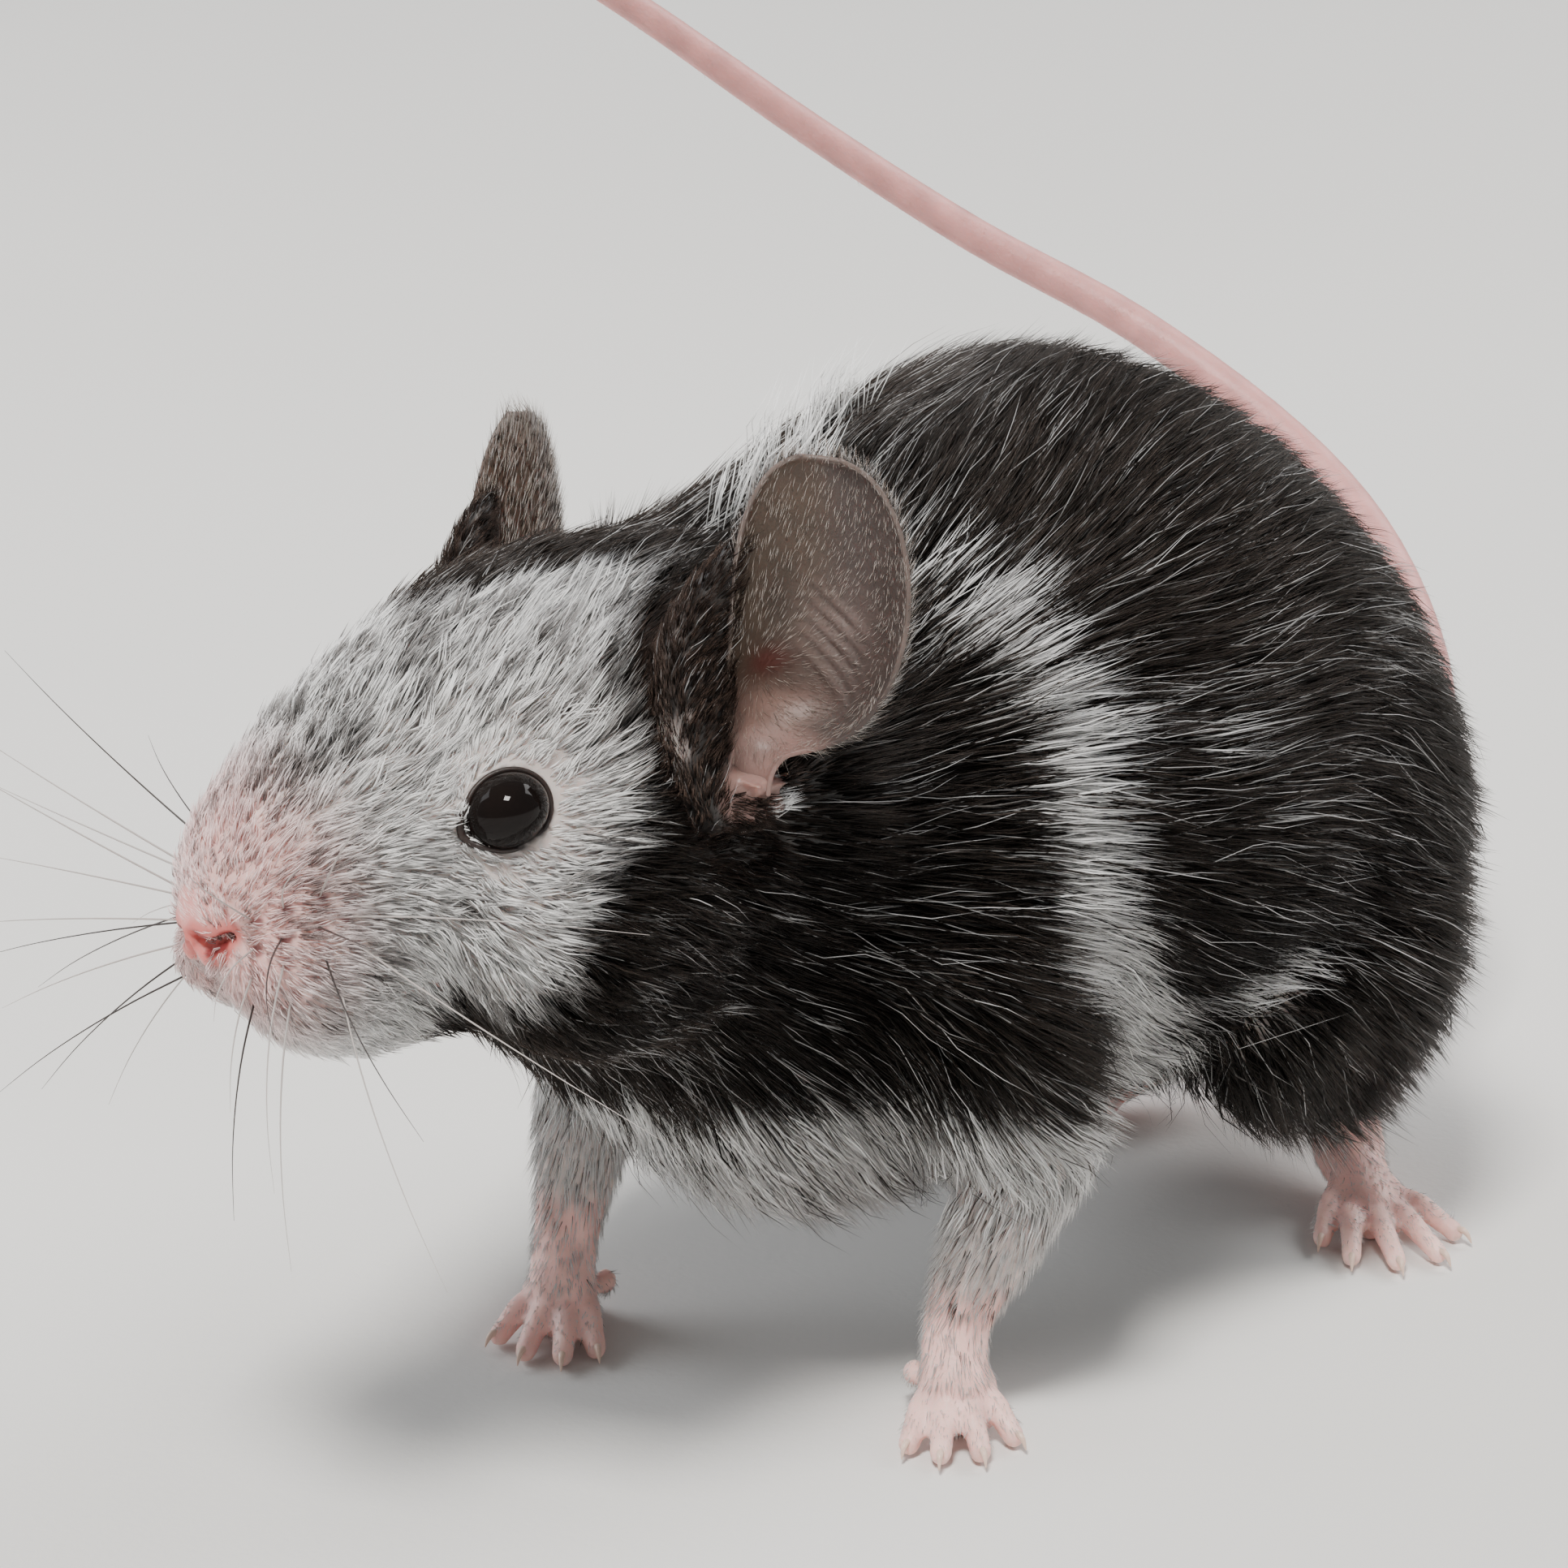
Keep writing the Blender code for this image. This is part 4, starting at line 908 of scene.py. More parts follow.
for ear in EARS:
    bm = bmesh.new()
    bmesh.ops.create_grid(bm, x_segments=EAR_COLUMNS, y_segments=len(table) - 1, size=0.5)
    spots = {}
    for vert in bm.verts:
        u, v = vert.co.x + 0.5, vert.co.y + 0.5
        row = min(int(v * (len(table) - 1) + 0.5), len(table) - 1)
        share, half_width, curl, shift = table[row]
        bend = radians(curl)
        radius = half_width / sin(min(bend, pi / 2))
        a = bend * (2 * u - 1)
        deep = radius * (cos(a) - cos(bend)) if bend < pi / 2 else radius * cos(a)
        # slanting folds from the canal to the back edge
        fold = 0.0
        for crest in FOLD_CRESTS:
            off = (share - crest) + 0.52 * (u - 0.55)
            fold += np.exp(-(off / 0.016) ** 2) * max(0.0, 1 - ((u - 0.56) / 0.24) ** 2) ** 1.5
        rim = 0.10 * (max(0.0, abs(2 * u - 1) - 0.92) / 0.08) ** 2 + 0.10 * max(0.0, (v - 0.95) / 0.05) ** 2
        vert.co = (radius * sin(a) + shift, deep + EAR_BEND_BACK * share * share - FOLD_HEIGHT * fold - rim,
                   share * EAR_LENGTH)
        spots[vert.index] = (u, share, fold)
    u, v, fold = np.array([spots[i] for i in range(len(bm.verts))]).T
    bmesh.ops.transform(bm, matrix=ear_matrix(ear), verts=bm.verts)
    dish = mesh_object(ear["name"].replace("ear", "pinna"), bm)
    rows = places(dish.data)
    brown = np.tile(np.array((0.072, 0.050, 0.035)), (len(rows), 1))
    brown = blend(brown, (0.062, 0.047, 0.042), ramp(u, 0.35, 0.65))
    middle = np.exp(-((u - 0.54) / 0.20) ** 2 - ((v - 0.46) / 0.16) ** 2)
    brown = blend(brown, (0.135, 0.098, 0.088), middle * 0.7)
    # Painted light on the slanting folds: their crests are painted lighter as a painted highlight, and the
    # hollow before them darker as painted shade, so that the folds show.
    hollow_shade = np.exp(-((u - 0.27) / 0.12) ** 2 - ((v - 0.55) / 0.14) ** 2)
    brown *= (1.0 + 0.45 * fold - 0.35 * hollow_shade)[:, None]
    brown = blend(brown, (0.19, 0.115, 0.095), ramp(0.34 - v, 0.0, 0.14) * ramp(0.75 - u, 0.0, 0.3))
    brown = blend(brown, (0.24, 0.15, 0.132), ramp(0.17 - v, 0.0, 0.06))
    canal = np.exp(-((u - 0.28) / 0.11) ** 2 - ((v - 0.35) / 0.05) ** 2)
    brown = blend(brown, (0.085, 0.018, 0.012), np.clip(canal * 1.1, 0.0, 0.9))
    brown *= 0.88
    edge = np.maximum(ramp(np.abs(2 * u - 1), 0.97, 1.0), ramp(v, 0.985, 1.0))
    brown = blend(brown, (0.11, 0.086, 0.076), edge * ramp(v, 0.3, 0.5))
    brown *= 1.0 + 0.07 * mottle(rows, 0.8, 31)[:, None]
    paint(dish.data, brown)
    wall = dish.modifiers.new("wall", "SOLIDIFY")
    wall.thickness = EAR_WALL
    wall.offset = 0.0
    wall.use_even_offset = False
    settle(dish)
    bm = opened(dish)
    rim_edges = [e for e in bm.edges if e.is_manifold and e.calc_face_angle(0.0) > 0.9]
    bmesh.ops.bevel(bm, geom=rim_edges, offset=EAR_EDGE, segments=2, profile=0.5, affect="EDGES",
                    material=-1, clamp_overlap=True)
    bmesh.ops.recalc_face_normals(bm, faces=bm.faces[:])
    if bm.calc_volume(signed=True) < 0.0:
        bmesh.ops.reverse_faces(bm, faces=bm.faces[:])
    give_back(bm, dish)
    ear_surfaces[ear["name"]] = surface_of(dish.data)
    dish.data.transform(Matrix.Scale(MM, 4))
    dish.data.shade_smooth()
    dish.data.materials.append(ear_skin)
    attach(dish, "root")
    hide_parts(ear["name"])


# ---- Coat -------------------------------------------------------------------
# Every hair or thin lock is a slim three-sided spike, rooted in the skin, lying back along the body.
# Hairs lean together at their tips; their direction, length and colour come from their place.
def unit(rows):
    """The rows brought to length one."""
    return rows / np.maximum(np.linalg.norm(rows, axis=1), 1e-9)[:, None]


FORE_LINES, HIND_LINES = [], []
for foot in FORE_FEET:
    matrix = foot_frame(foot)
    elbow, wrist = MIDLINE + Vector(foot["elbow"]), MIDLINE + Vector(foot["wrist"])
    FORE_LINES.append([elbow + (elbow - wrist) * 0.5, elbow, wrist, matrix @ Vector((1.6, 0.0, 1.4)),
                       matrix @ Vector((5.0, 0.0, 0.4))])
for foot in HIND_FEET:
    matrix = foot_frame(foot)
    ankle = matrix @ Vector((1.4 - SOLE, 0.0, foot["heel_height"] + 2.6))
    HIND_LINES.append([ankle + Vector((0.0, 0.0, 5.0)), ankle, matrix @ Vector((-3.5, 0.0, 2.2)),
                       matrix @ Vector((0.0, 0.0, 1.4)), matrix @ Vector((4.5, 0.0, 0.4))])
TAIL_ROOT = np.array(MIDLINE + Vector(TAIL_LINE[1]))
NOSE = np.array(nose_tip)


# How steeply the coat rises or falls to the rear: at the heights of the head, and over the trunk's flank.
FACE_HEIGHTS, FACE_RISE = [-5.0, -1.0, 1.5, 3.5, 6.0, 9.0], [-0.70, -0.45, -0.12, 0.40, 0.95, 1.0]
FLANK_HEIGHTS = [12.0, 15.0, 19.0, 24.0, 28.0, 32.0, 36.0]
FLANK_FRONT = [-1.1, -0.8, -0.5, -0.30, -0.12, 0.15, 0.45]
FLANK_REAR = [-1.2, -0.95, -0.7, -0.5, -0.42, -0.35, -0.3]


def in_ear(ear, rows):
    """Places in the ear's own axes: across the dish, to its back and up."""
    inverse = np.array(ear_matrix(ear).inverted())
    return rows @ inverse[:3, :3].T + inverse[:3, 3]


def lie(rows, normals):
    """The direction in which the coat lies, along the skin."""
    head = in_head(rows)
    sides = np.tanh(head[:, 0] / 1.2)
    source = np.stack([1.9 * sides, np.full(len(rows), 0.6), np.full(len(rows), -1.0)], axis=1)
    fan = unit(head - source)
    face_rise = np.interp(head[:, 2], FACE_HEIGHTS, FACE_RISE)
    sweep = np.stack([0.10 * sides, np.ones(len(rows)), face_rise], axis=1)
    back_share = (0.25 + 0.75 * ramp(head[:, 1], 2.5, 8.0))[:, None]
    face_way = fan * (1.0 - back_share) + unit(sweep) * back_share
    face_way = face_way @ TO_HEAD[:3, :3]
    for middle, out, _ in lid_rings:
        away = rows - middle
        gap = np.linalg.norm(away, axis=1)
        face_way += unit(away) * (0.6 * np.exp(-((gap - 1.8) / 1.1) ** 2))[:, None]
    side = (rows[:, 0] - TRUNK_MIDDLE) / 14.0
    rear = ramp(rows[:, 1], -4.0, 12.0)
    rise = (np.interp(rows[:, 2], FLANK_HEIGHTS, FLANK_FRONT) * (1.0 - rear)
            + np.interp(rows[:, 2], FLANK_HEIGHTS, FLANK_REAR) * rear)
    inwards = -0.45 * np.tanh(2.0 * side) * ramp(rows[:, 2], 30.0, 37.0) * (1.0 - rear)
    inwards += 0.25 * side * ramp(24.0 - rows[:, 2], 0.0, 8.0) * (1.0 - rear)
    body_way = unit(np.stack([inwards, np.ones(len(rows)), rise], axis=1))
    body_way += 0.10 * np.stack([mottle(rows, 6.0, seed) for seed in (41, 42, 43)], axis=1)
    tailwards = (0.8 * ramp(rows[:, 1], 11.0, 20.0))[:, None]
    to_tail = unit(TAIL_ROOT + (0.0, 3.0, -1.0) - rows)
    body_way = unit(body_way) * (1.0 - tailwards) + to_tail * tailwards
    on_head = ramp(19.5 - head[:, 1], -4.0, 4.0)[:, None]
    way = unit(face_way) * on_head + unit(body_way) * (1.0 - on_head)
    for ear in EARS:
        matrix = ear_matrix(ear)
        gap, up_ear = beside(rows, [matrix @ Vector(p) for p in EAR_ROOT_LINE])
        near = (ramp(2.6 - gap, 0.0, 1.2) * (in_ear(ear, rows)[:, 0] < -1.5))[:, None]
        across = np.array(matrix.to_3x3() @ Vector((0.55, 0.5, 0.0)))
        way = way * (1.0 - near) + unit(up_ear + across) * near
    for lines, reach, top in ((FORE_LINES, 4.6, 14.5), (HIND_LINES, 3.4, 8.5)):
        for line in lines:
            gap, down = beside(rows, line)
            near = (ramp(reach - gap, 0.0, 2.0) * ramp(top - rows[:, 2], 0.0, 4.0))[:, None]
            way = way * (1.0 - near) + down * near
    return unit(way - (way * normals).sum(axis=1)[:, None] * normals)


def ear_root_gap(rows):
    """Distance from the nearer ear's furry root."""
    gaps = [beside(rows, [ear_matrix(ear) @ Vector(p) for p in EAR_ROOT_LINE])[0] for ear in EARS]
    return np.minimum(*gaps)


# The coat's length by the distance from the nose, and its most at the ear roots.
LENGTH_PLACES, LENGTHS = [0.0, 2.0, 5.0, 10.0, 16.0, 22.0, 30.0], [0.45, 0.7, 1.1, 1.65, 2.3, 3.2, 4.3]
EAR_COAT = 1.05


def coat_length(rows):
    """Length of the coat in millimetres."""
    length = np.interp(nose_distance(rows), LENGTH_PLACES, LENGTHS)
    for lines, reach in ((FORE_LINES, 4.6), (HIND_LINES, 3.6)):
        for line in lines:
            gap, _ = beside(rows, line)
            near = ramp(reach + 0.6 - gap, 0.0, 1.8) * ramp(16.0 - rows[:, 2], 0.0, 5.0)
            short = 0.72 + 0.17 * np.maximum(rows[:, 2] - 3.0, 0.0)
            length = length * (1 - near) + np.minimum(length, short) * near
    length = np.minimum(length, 0.55 + 0.8 * np.maximum(rows[:, 2] - 2.4, 0.0))
    for middle, _, _ in lid_rings:
        length *= 0.42 + 0.58 * ramp(np.linalg.norm(rows - middle, axis=1), 1.9, 3.8)
    near_ear = ramp(4.2 - ear_root_gap(rows), 0.0, 2.4)
    return length * (1.0 - near_ear) + np.minimum(length, EAR_COAT) * near_ear


def scatter(dice, surface, where, per_area):
    """Random places on a surface: where picks patches, per_area gives hairs to the square millimetre."""
    points, normals, corners, areas, middles = surface
    weight = areas * where(middles) * per_area
    chosen = dice.choice(len(corners), int(weight.sum()), p=weight / weight.sum())
    a, b = np.sqrt(dice.random(len(chosen))), dice.random(len(chosen))
    shares = np.stack([1 - a, a * (1 - b), a * b], axis=1)[:, :, None]
    picked = corners[chosen]
    return (points[picked] * shares).sum(axis=1), unit((normals[picked] * shares).sum(axis=1))


def above_skin(rows, heights):
    """The places moved to the given heights over the nearest skin."""
    result = np.empty_like(rows)
    for i, (row, height) in enumerate(zip(rows.tolist(), heights.tolist())):
        place, normal, _, _ = skin_tree.find_nearest(row)
        result[i] = place + normal * height
    return result


def build_strands(name, material, rings, widths, side, up, colours, order):
    """Three-sided spikes through rows of ring centres; the last ring is the point of the hair."""
    count, steps = len(rings[0]), len(rings) - 1
    points = []
    for ring, width in zip(rings[:-1], widths):
        for a in (90.0, 210.0, 330.0):
            points.append(ring + side * (cos(radians(a)) * width)[:, None]
                          + up * (sin(radians(a)) * 0.7 * width)[:, None])
    points.append(rings[-1])
    per = len(points)
    coords = np.stack(points, axis=1).reshape(-1, 3) * MM
    faces = [(2, 1, 0)]
    for k in range(steps - 1):
        for j in range(3):
            a, b = 3 * k + j, 3 * k + (j + 1) % 3
            faces += [(a, b, b + 3), (a, b + 3, a + 3)]
    last = 3 * (steps - 1)
    faces += [(last + j, last + (j + 1) % 3, per - 1) for j in range(3)]
    faces = np.array(faces)
    loops = (faces[None] + (np.arange(count) * per)[:, None, None]).reshape(-1)
    mesh = bpy.data.meshes.new(name)
    mesh.vertices.add(count * per)
    mesh.vertices.foreach_set("co", coords.astype(np.float32).ravel())
    mesh.loops.add(len(loops))
    mesh.loops.foreach_set("vertex_index", loops.astype(np.int32))
    mesh.polygons.add(len(loops) // 3)
    mesh.polygons.foreach_set("loop_start", np.arange(0, len(loops), 3, dtype=np.int32))
    mesh.update()
    paint(mesh, np.stack([colours[min(k // 3, steps)] for k in range(per)], axis=1).reshape(-1, 3))
    # One small patch for each hair, in rows along the body and round it, so that no two hairs share colours.
    across = int(np.ceil(np.sqrt(count)))
    cell = np.empty((count, 2))
    by_length = np.argsort(order[0], kind="stable")
    for r in range(across):
        row = by_length[r * across:(r + 1) * across]
        row = row[np.argsort(order[1][row], kind="stable")]
        cell[row, 0] = np.arange(len(row))
        cell[row, 1] = r
    patch = min(0.003, 0.8 / across)
    spots = [((j - 1) * 0.45, k / steps) for k in range(steps) for j in range(3)] + [(0.0, 1.0)]
    spots = np.array(spots) * (patch, patch)
    flat = ((cell + 0.5) / across)[:, None, :] - (0.0, patch / 2) + spots[None]
    layer = mesh.uv_layers.new(name="OFBake")
    layer.data.foreach_set("uv", flat.reshape(-1, 2)[loops].astype(np.float32).ravel())
    mesh.shade_smooth()
    mesh.materials.append(material)
    obj = bpy.data.objects.new(name, mesh)
    bpy.context.scene.collection.objects.link(obj)
    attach(obj, "root")


fur, shader, start = painted_finish("fur", 0.42, 0.09)
let_light_in(shader, 0.3, (1.0, 0.9, 0.85), 0.0004)
DARK, MID = (0.0070, 0.0054, 0.0045), (0.10, 0.092, 0.087)
SILVER, WHITE = (0.50, 0.49, 0.49), (1.0, 0.99, 0.975)
FACE_GREY, EAR_FUR, LEG_BROWN = (0.28, 0.264, 0.257), (0.0072, 0.0048, 0.0038), (0.105, 0.088, 0.082)
ROOT_DEPTH = 0.12                          # how deep a hair's root is set in the skin


def hair_colours(dice, roots, rows, locks, kinship, contrast=0.0):
    """One colour to a hair: dark or white by the share of white there, and a few between.

    With the chance kinship, a hair has the pick of its lock, so that locks show as streaks."""
    share = white_share(rows)
    share = share * (1.0 - contrast) + contrast * share * ramp(share, 0.08, 0.5)
    mask = mask_of(rows)
    own, between, bright = dice.random((3, len(rows)))
    alike = dice.random(len(rows)) < kinship
    pick = np.where(alike, own[locks], own)
    paleness = np.where(alike, 0.7 * bright[locks] + 0.3 * bright, bright)[:, None] ** 0.7
    colour = np.tile(np.array(DARK), (len(rows), 1)) * dice.uniform(0.6, 1.9, (len(rows), 1))
    on_leg = ramp(14.0 - rows[:, 2], 0.0, 3.0)
    on_foreleg = on_leg * (rows[:, 1] < -3.0) * ramp(np.abs(rows[:, 0] - TRUNK_MIDDLE), 5.0, 7.0)
    colour = blend(colour, LEG_BROWN, on_foreleg)
    greyish = between < 0.04 + 0.3 * share
    colour[greyish] = np.array(MID) * dice.uniform(0.2, 1.0, (greyish.sum(), 1))
    crown = ramp(in_head(rows)[:, 2], 0.5, 4.5)
    grey = np.array(FACE_GREY) * ((0.5 + 1.2 * bright[locks]) * (1.0 - 0.38 * crown))[:, None]
    colour = blend(colour, 0.0, mask) + grey * mask[:, None]
    light = pick < share
    pale = np.array(SILVER) * (1 - paleness) + np.array(WHITE) * paleness
    pale = pale * (0.42 + 0.58 * ramp(share, 0.12, 0.5))[:, None]
    colour[light] = pale[light]
    thin = light & (share < 0.4)
    at_ear = ear_root_gap(roots) < 2.9
    colour[at_ear] = np.array(EAR_FUR) * dice.uniform(0.5, 2.2, (at_ear.sum(), 1))
    for ear in EARS:
        tuft = ear_gap(roots, ear, (0.7, 0.3, -0.9)) < 0.85
        colour[tuft] = np.array(WHITE) * dice.uniform(0.6, 1.0, (tuft.sum(), 1))
    rosy = 0.30 * ramp(9.0 - nose_distance(rows), 0.0, 5.0)[:, None]
    return colour * (1.0 - rosy * (0.0, 0.95, 1.0)), thin


def nose_distance(rows):
    """Distance from the tip of the nose."""
    return np.linalg.norm(rows - NOSE, axis=1)


def grow(name, seed, where, density, width, stretch=1.0, lift=13.0, lean=0.5, knot=7, segments=2, stray=0.10,
         kinship=0.4, dye=None, wave=0.04, droop=0.0, contrast=0.0):
    """Grow one piece of the coat, with density hairs to the square millimetre.

    Stretch multiplies the coat's own length, lift is the angle off the skin in degrees, knot is how many
    hairs lean towards one tip, and lean is by how much."""
    dice = np.random.default_rng(seed)
    rows, normals = scatter(dice, skin_surface, where, density)
    count = len(rows)
    ways = lie(rows, normals)
    leaders = dice.choice(count, max(1, count // knot), replace=False)
    tree = KDTree(len(leaders))
    for i, leader in enumerate(leaders):
        tree.insert(rows[leader], i)
    tree.balance()
    led = leaders[[tree.find(row)[1] for row in rows.tolist()]]
    turn = dice.normal(0.0, stray, count) * 0.6 + dice.normal(0.0, stray, count)[led]
    ways = unit(ways + np.cross(ways, normals) * turn[:, None])
    sides = np.cross(ways, normals)
    lengths = coat_length(rows) * stretch * dice.uniform(0.70, 1.20, count)
    raised = lift * dice.uniform(0.6, 1.4, count) * dice.uniform(0.75, 1.25, count)[led]
    lifts = np.radians(raised + (droop + 14.0) * ramp(-normals[:, 2], 0.3, 0.8) * ramp(lengths, 1.5, 3.0))
    reach, heights = (lengths * np.cos(lifts))[:, None], lengths * np.sin(lifts)
    rings = [rows - normals * ROOT_DEPTH]
    for k in range(1, segments):
        share = k / segments
        ring = above_skin(rows + ways * reach * share, heights * share ** 0.62)
        rings.append(ring + sides * (lengths * dice.normal(0.0, wave, count))[:, None])
    if segments == 1:
        rings.append(rows + ways * reach + normals * heights[:, None])
    else:
        rings.append(above_skin(rows + ways * reach, heights))
    # hairs lean to the tip of the nearest leading hair
    scale = (lengths / lengths[led])[:, None]
    pull = (lean * dice.uniform(0.5, 1.3, count))[:, None]
    for k in range(1, segments + 1):
        led_ring = rows[led] + (rings[k][led] - rows[led]) * scale
        rings[k] = rings[k] + (led_ring - rings[k]) * pull * (k / segments) ** 1.3
    sunk = ramp(nose_distance(rows), 2.0, 25.0) * ramp(rows[:, 2], 4.0, 9.0)
    over = normals * (MARK_HEIGHT * sunk)[:, None]
    seen = rows + ways * (0.8 * lengths)[:, None] + over
    colour, thin = hair_colours(dice, rows, seen, led, kinship, contrast)
    pale = mask_of(rows)
    if dye is not None:
        colour, thin = dye(dice, count), np.zeros(count, bool)
    size = width * dice.uniform(0.75, 1.25, count) / 2 * np.where(thin, 0.62, 1.0)
    size *= 1.0 - 0.4 * (ear_root_gap(rows) < 2.4)
    widths = [size] + [size * (1.05 - 0.25 * (k - 1)) for k in range(1, segments)]
    # Each hair is painted darker at its root and a little lighter at its tip. The dark root is partly the
    # hair's own grey base and partly painted shade, where hairs shade one another near the skin; this
    # painted root shade is weaker in the pale mask.
    root_shade_steps = [0.62, 1.0] if segments == 1 else [0.55] + [0.95] * (segments - 1) + [1.08]
    root_shade_steps = [k + (1.0 - k) * 0.7 * pale[:, None] for k in root_shade_steps]
    order = (rows[:, 1], np.arctan2(rows[:, 0] - TRUNK_MIDDLE, rows[:, 2] - 22.0))
    build_strands(name, fur, rings, widths, sides, normals, [colour * k for k in root_shade_steps], order)


def pad_gap(rows):
    """Distance from the middle of the nose pad, which is a little higher than wide."""
    return np.linalg.norm((in_head(rows) - (0.0, -0.1, -0.9)) / (1.0, 1.0, 1.1), axis=1)


def furry(rows):
    """Where hair grows: not on the eyes, the tail, the soles, the nose pad or the floors of the ears."""
    gap, _ = beside(rows, BARE_TAIL)
    keep = (gap > 3.2) * (rows[:, 2] > 0.9) * (pad_gap(rows) > 1.35)
    for ear in EARS:
        across, back, up = in_ear(ear, rows).T
        within = (across > -1.75) * (across < 0.2) * (back < 1.5) * (back > -0.9)
        keep = keep * (1.0 - within * (up > -0.4) * (up < 8.0))
    for ring in lid_rings:
        off_axis, rise = from_eye(rows, ring)
        keep = keep * (1.0 - (off_axis < 1.79) * (rise > -0.6))
    for line in whisker_roots.values():
        for spot in line:
            keep = keep * (np.linalg.norm(rows - np.array(spot), axis=1) > 0.24)
    return keep * (1.0 + 1.3 * (ear_root_gap(rows) < 2.4))


def zone(*tests):
    """Furry places that pass each test."""
    def where(rows):
        keep = furry(rows)
        for test in tests:
            keep = keep * test(rows)
        return keep
    return where


def nose_between(low, high):
    return lambda rows: (nose_distance(rows) >= low) * (nose_distance(rows) < high)


def along_between(low, high):
    return lambda rows: (rows[:, 1] >= low) * (rows[:, 1] < high)


def trunk(rows):
    return (nose_distance(rows) >= HEAD_END) * (rows[:, 2] >= LEG_TOP)


def legs(rows):
    return rows[:, 2] < LEG_TOP


HEAD_END = 22.0                            # from the nose back to the neck
LEG_TOP = 9.5                              # height up to which the coat is the legs'
FAR = 99.0                                 # past every end of the body
head_zone = nose_between(0.0, HEAD_END)


# ---- Coat: underfur ---------------------------------------------------------
# The dense short coat that closes over the skin: straight fine hairs in small locks,
# over the head, the legs, and the trunk in three lengths.
grow("underfur_head", 11, zone(head_zone), density=37.0, width=0.070, stretch=0.9, lift=14.0, lean=0.45,
     segments=1, stray=0.12, kinship=0.5)
for name, seed, low, high in (("underfur_front", 12, -FAR, -6.0), ("underfur_middle", 13, -6.0, 8.0),
                              ("underfur_rear", 14, 8.0, FAR)):
    grow(name, seed, zone(trunk, along_between(low, high)), density=24.0, width=0.092, stretch=0.95,
         lift=11.0, lean=0.45, knot=8, segments=1, stray=0.07, contrast=1.0)
grow("underfur_legs", 15, zone(legs), density=30.0, width=0.068, lift=14.0, lean=0.4, knot=6, segments=1,
     stray=0.12, kinship=0.3)

# ---- Coat: face -------------------------------------------------------------
# Short soft hair in ruffled locks, finest on the muzzle, longer on the cheeks.
# It lies in three zones by the distance from the nose.
MUZZLE_END, FACE_END = 9.0, 16.0
grow("coat_muzzle", 21, zone(nose_between(0.0, MUZZLE_END)), density=44.0, width=0.062, stretch=1.05,
     lift=21.0, lean=0.55, stray=0.20, kinship=0.75)
grow("coat_face", 22, zone(nose_between(MUZZLE_END, FACE_END)), density=38.0, width=0.072, stretch=1.05,
     lift=17.0, lean=0.6, knot=9, stray=0.20, kinship=0.8)
grow("coat_cheeks", 23, zone(nose_between(FACE_END, HEAD_END)), density=24.0, width=0.08, lift=15.0,
     lean=0.6, knot=8, stray=0.14, kinship=0.75)

# ---- Coat: trunk ------------------------------------------------------------
# Longer sleek hair that lies back over the underfur, again in three lengths,
# a little sparser and flatter on the rump.
for name, seed, low, high, density, lift in (
        ("coat_fore", 31, -FAR, -4.0, 9.0, 12.0), ("coat_middle", 32, -4.0, 12.0, 9.0, 12.0),
        ("coat_rump", 33, 12.0, FAR, 8.5, 11.0)):
    grow(name, seed, zone(trunk, along_between(low, high)), density, width=0.078, stretch=1.05, lift=lift,
         knot=6, stray=0.08)


# ---- Coat: guard hairs ------------------------------------------------------
# Single long hairs behind the face and over the legs, half of them silver, that stand a
# little away and droop under the belly; and a tuft of white hair that stands up on the nape.
def guard_dye(dice, count):
    silver = dice.random(count) < 0.5
    pale = np.array(SILVER) * dice.uniform(0.3, 1.3, (count, 1))
    dark = np.array(DARK) * dice.uniform(0.8, 2.5, (count, 1))
    return np.where(silver[:, None], pale, dark)


def nape_dye(dice, count):
    return np.array(WHITE) * dice.uniform(0.7, 1.05, (count, 1))


def guarded(rows):
    return (nose_distance(rows) >= 15.0) * (rows[:, 2] > 11.5)


def on_nape(rows):
    return beside(rows, NAPE)[0] < 1.7


grow("guard_hairs", 41, zone(guarded), density=1.35, width=0.040, stretch=1.25, lean=0.0, segments=3,
     kinship=0.0, dye=guard_dye, wave=0.02, droop=6.0)
grow("nape_tuft", 42, zone(on_nape), density=11.0, width=0.075, stretch=0.95, lift=50.0, lean=0.75, knot=9,
     stray=0.15, kinship=0.0, dye=nape_dye)


# ---- Coat: nose fuzz and tail hairs -----------------------------------------
# The finest down, short and pale, round the nostrils and scattered along the tail,
# where it lies nearly flat.
DOWN_PINK = (0.92, 0.74, 0.71)


def pale_dye(dice, count):
    return np.array(DOWN_PINK) * dice.uniform(0.7, 1.05, (count, 1))


def on_pad(rows):
    nostril_gaps = [beside(rows, line)[0] for line in nostril_lines]
    return (pad_gap(rows) <= 2.2) * (np.minimum(*nostril_gaps) > 0.5) * 1.0


def on_bare_tail(rows):
    gap, _ = beside(rows, BARE_TAIL)
    return (gap < 2.0) * 1.0


grow("nose_fuzz", 43, on_pad, density=70.0, width=0.034, stretch=0.95, lift=24.0, lean=0.3, knot=5,
     segments=1, stray=0.2, kinship=0.0, dye=pale_dye)
grow("tail_hairs", 44, on_bare_tail, density=5.5, width=0.030, stretch=0.12, lean=0.0, segments=1,
     kinship=0.0, dye=pale_dye)

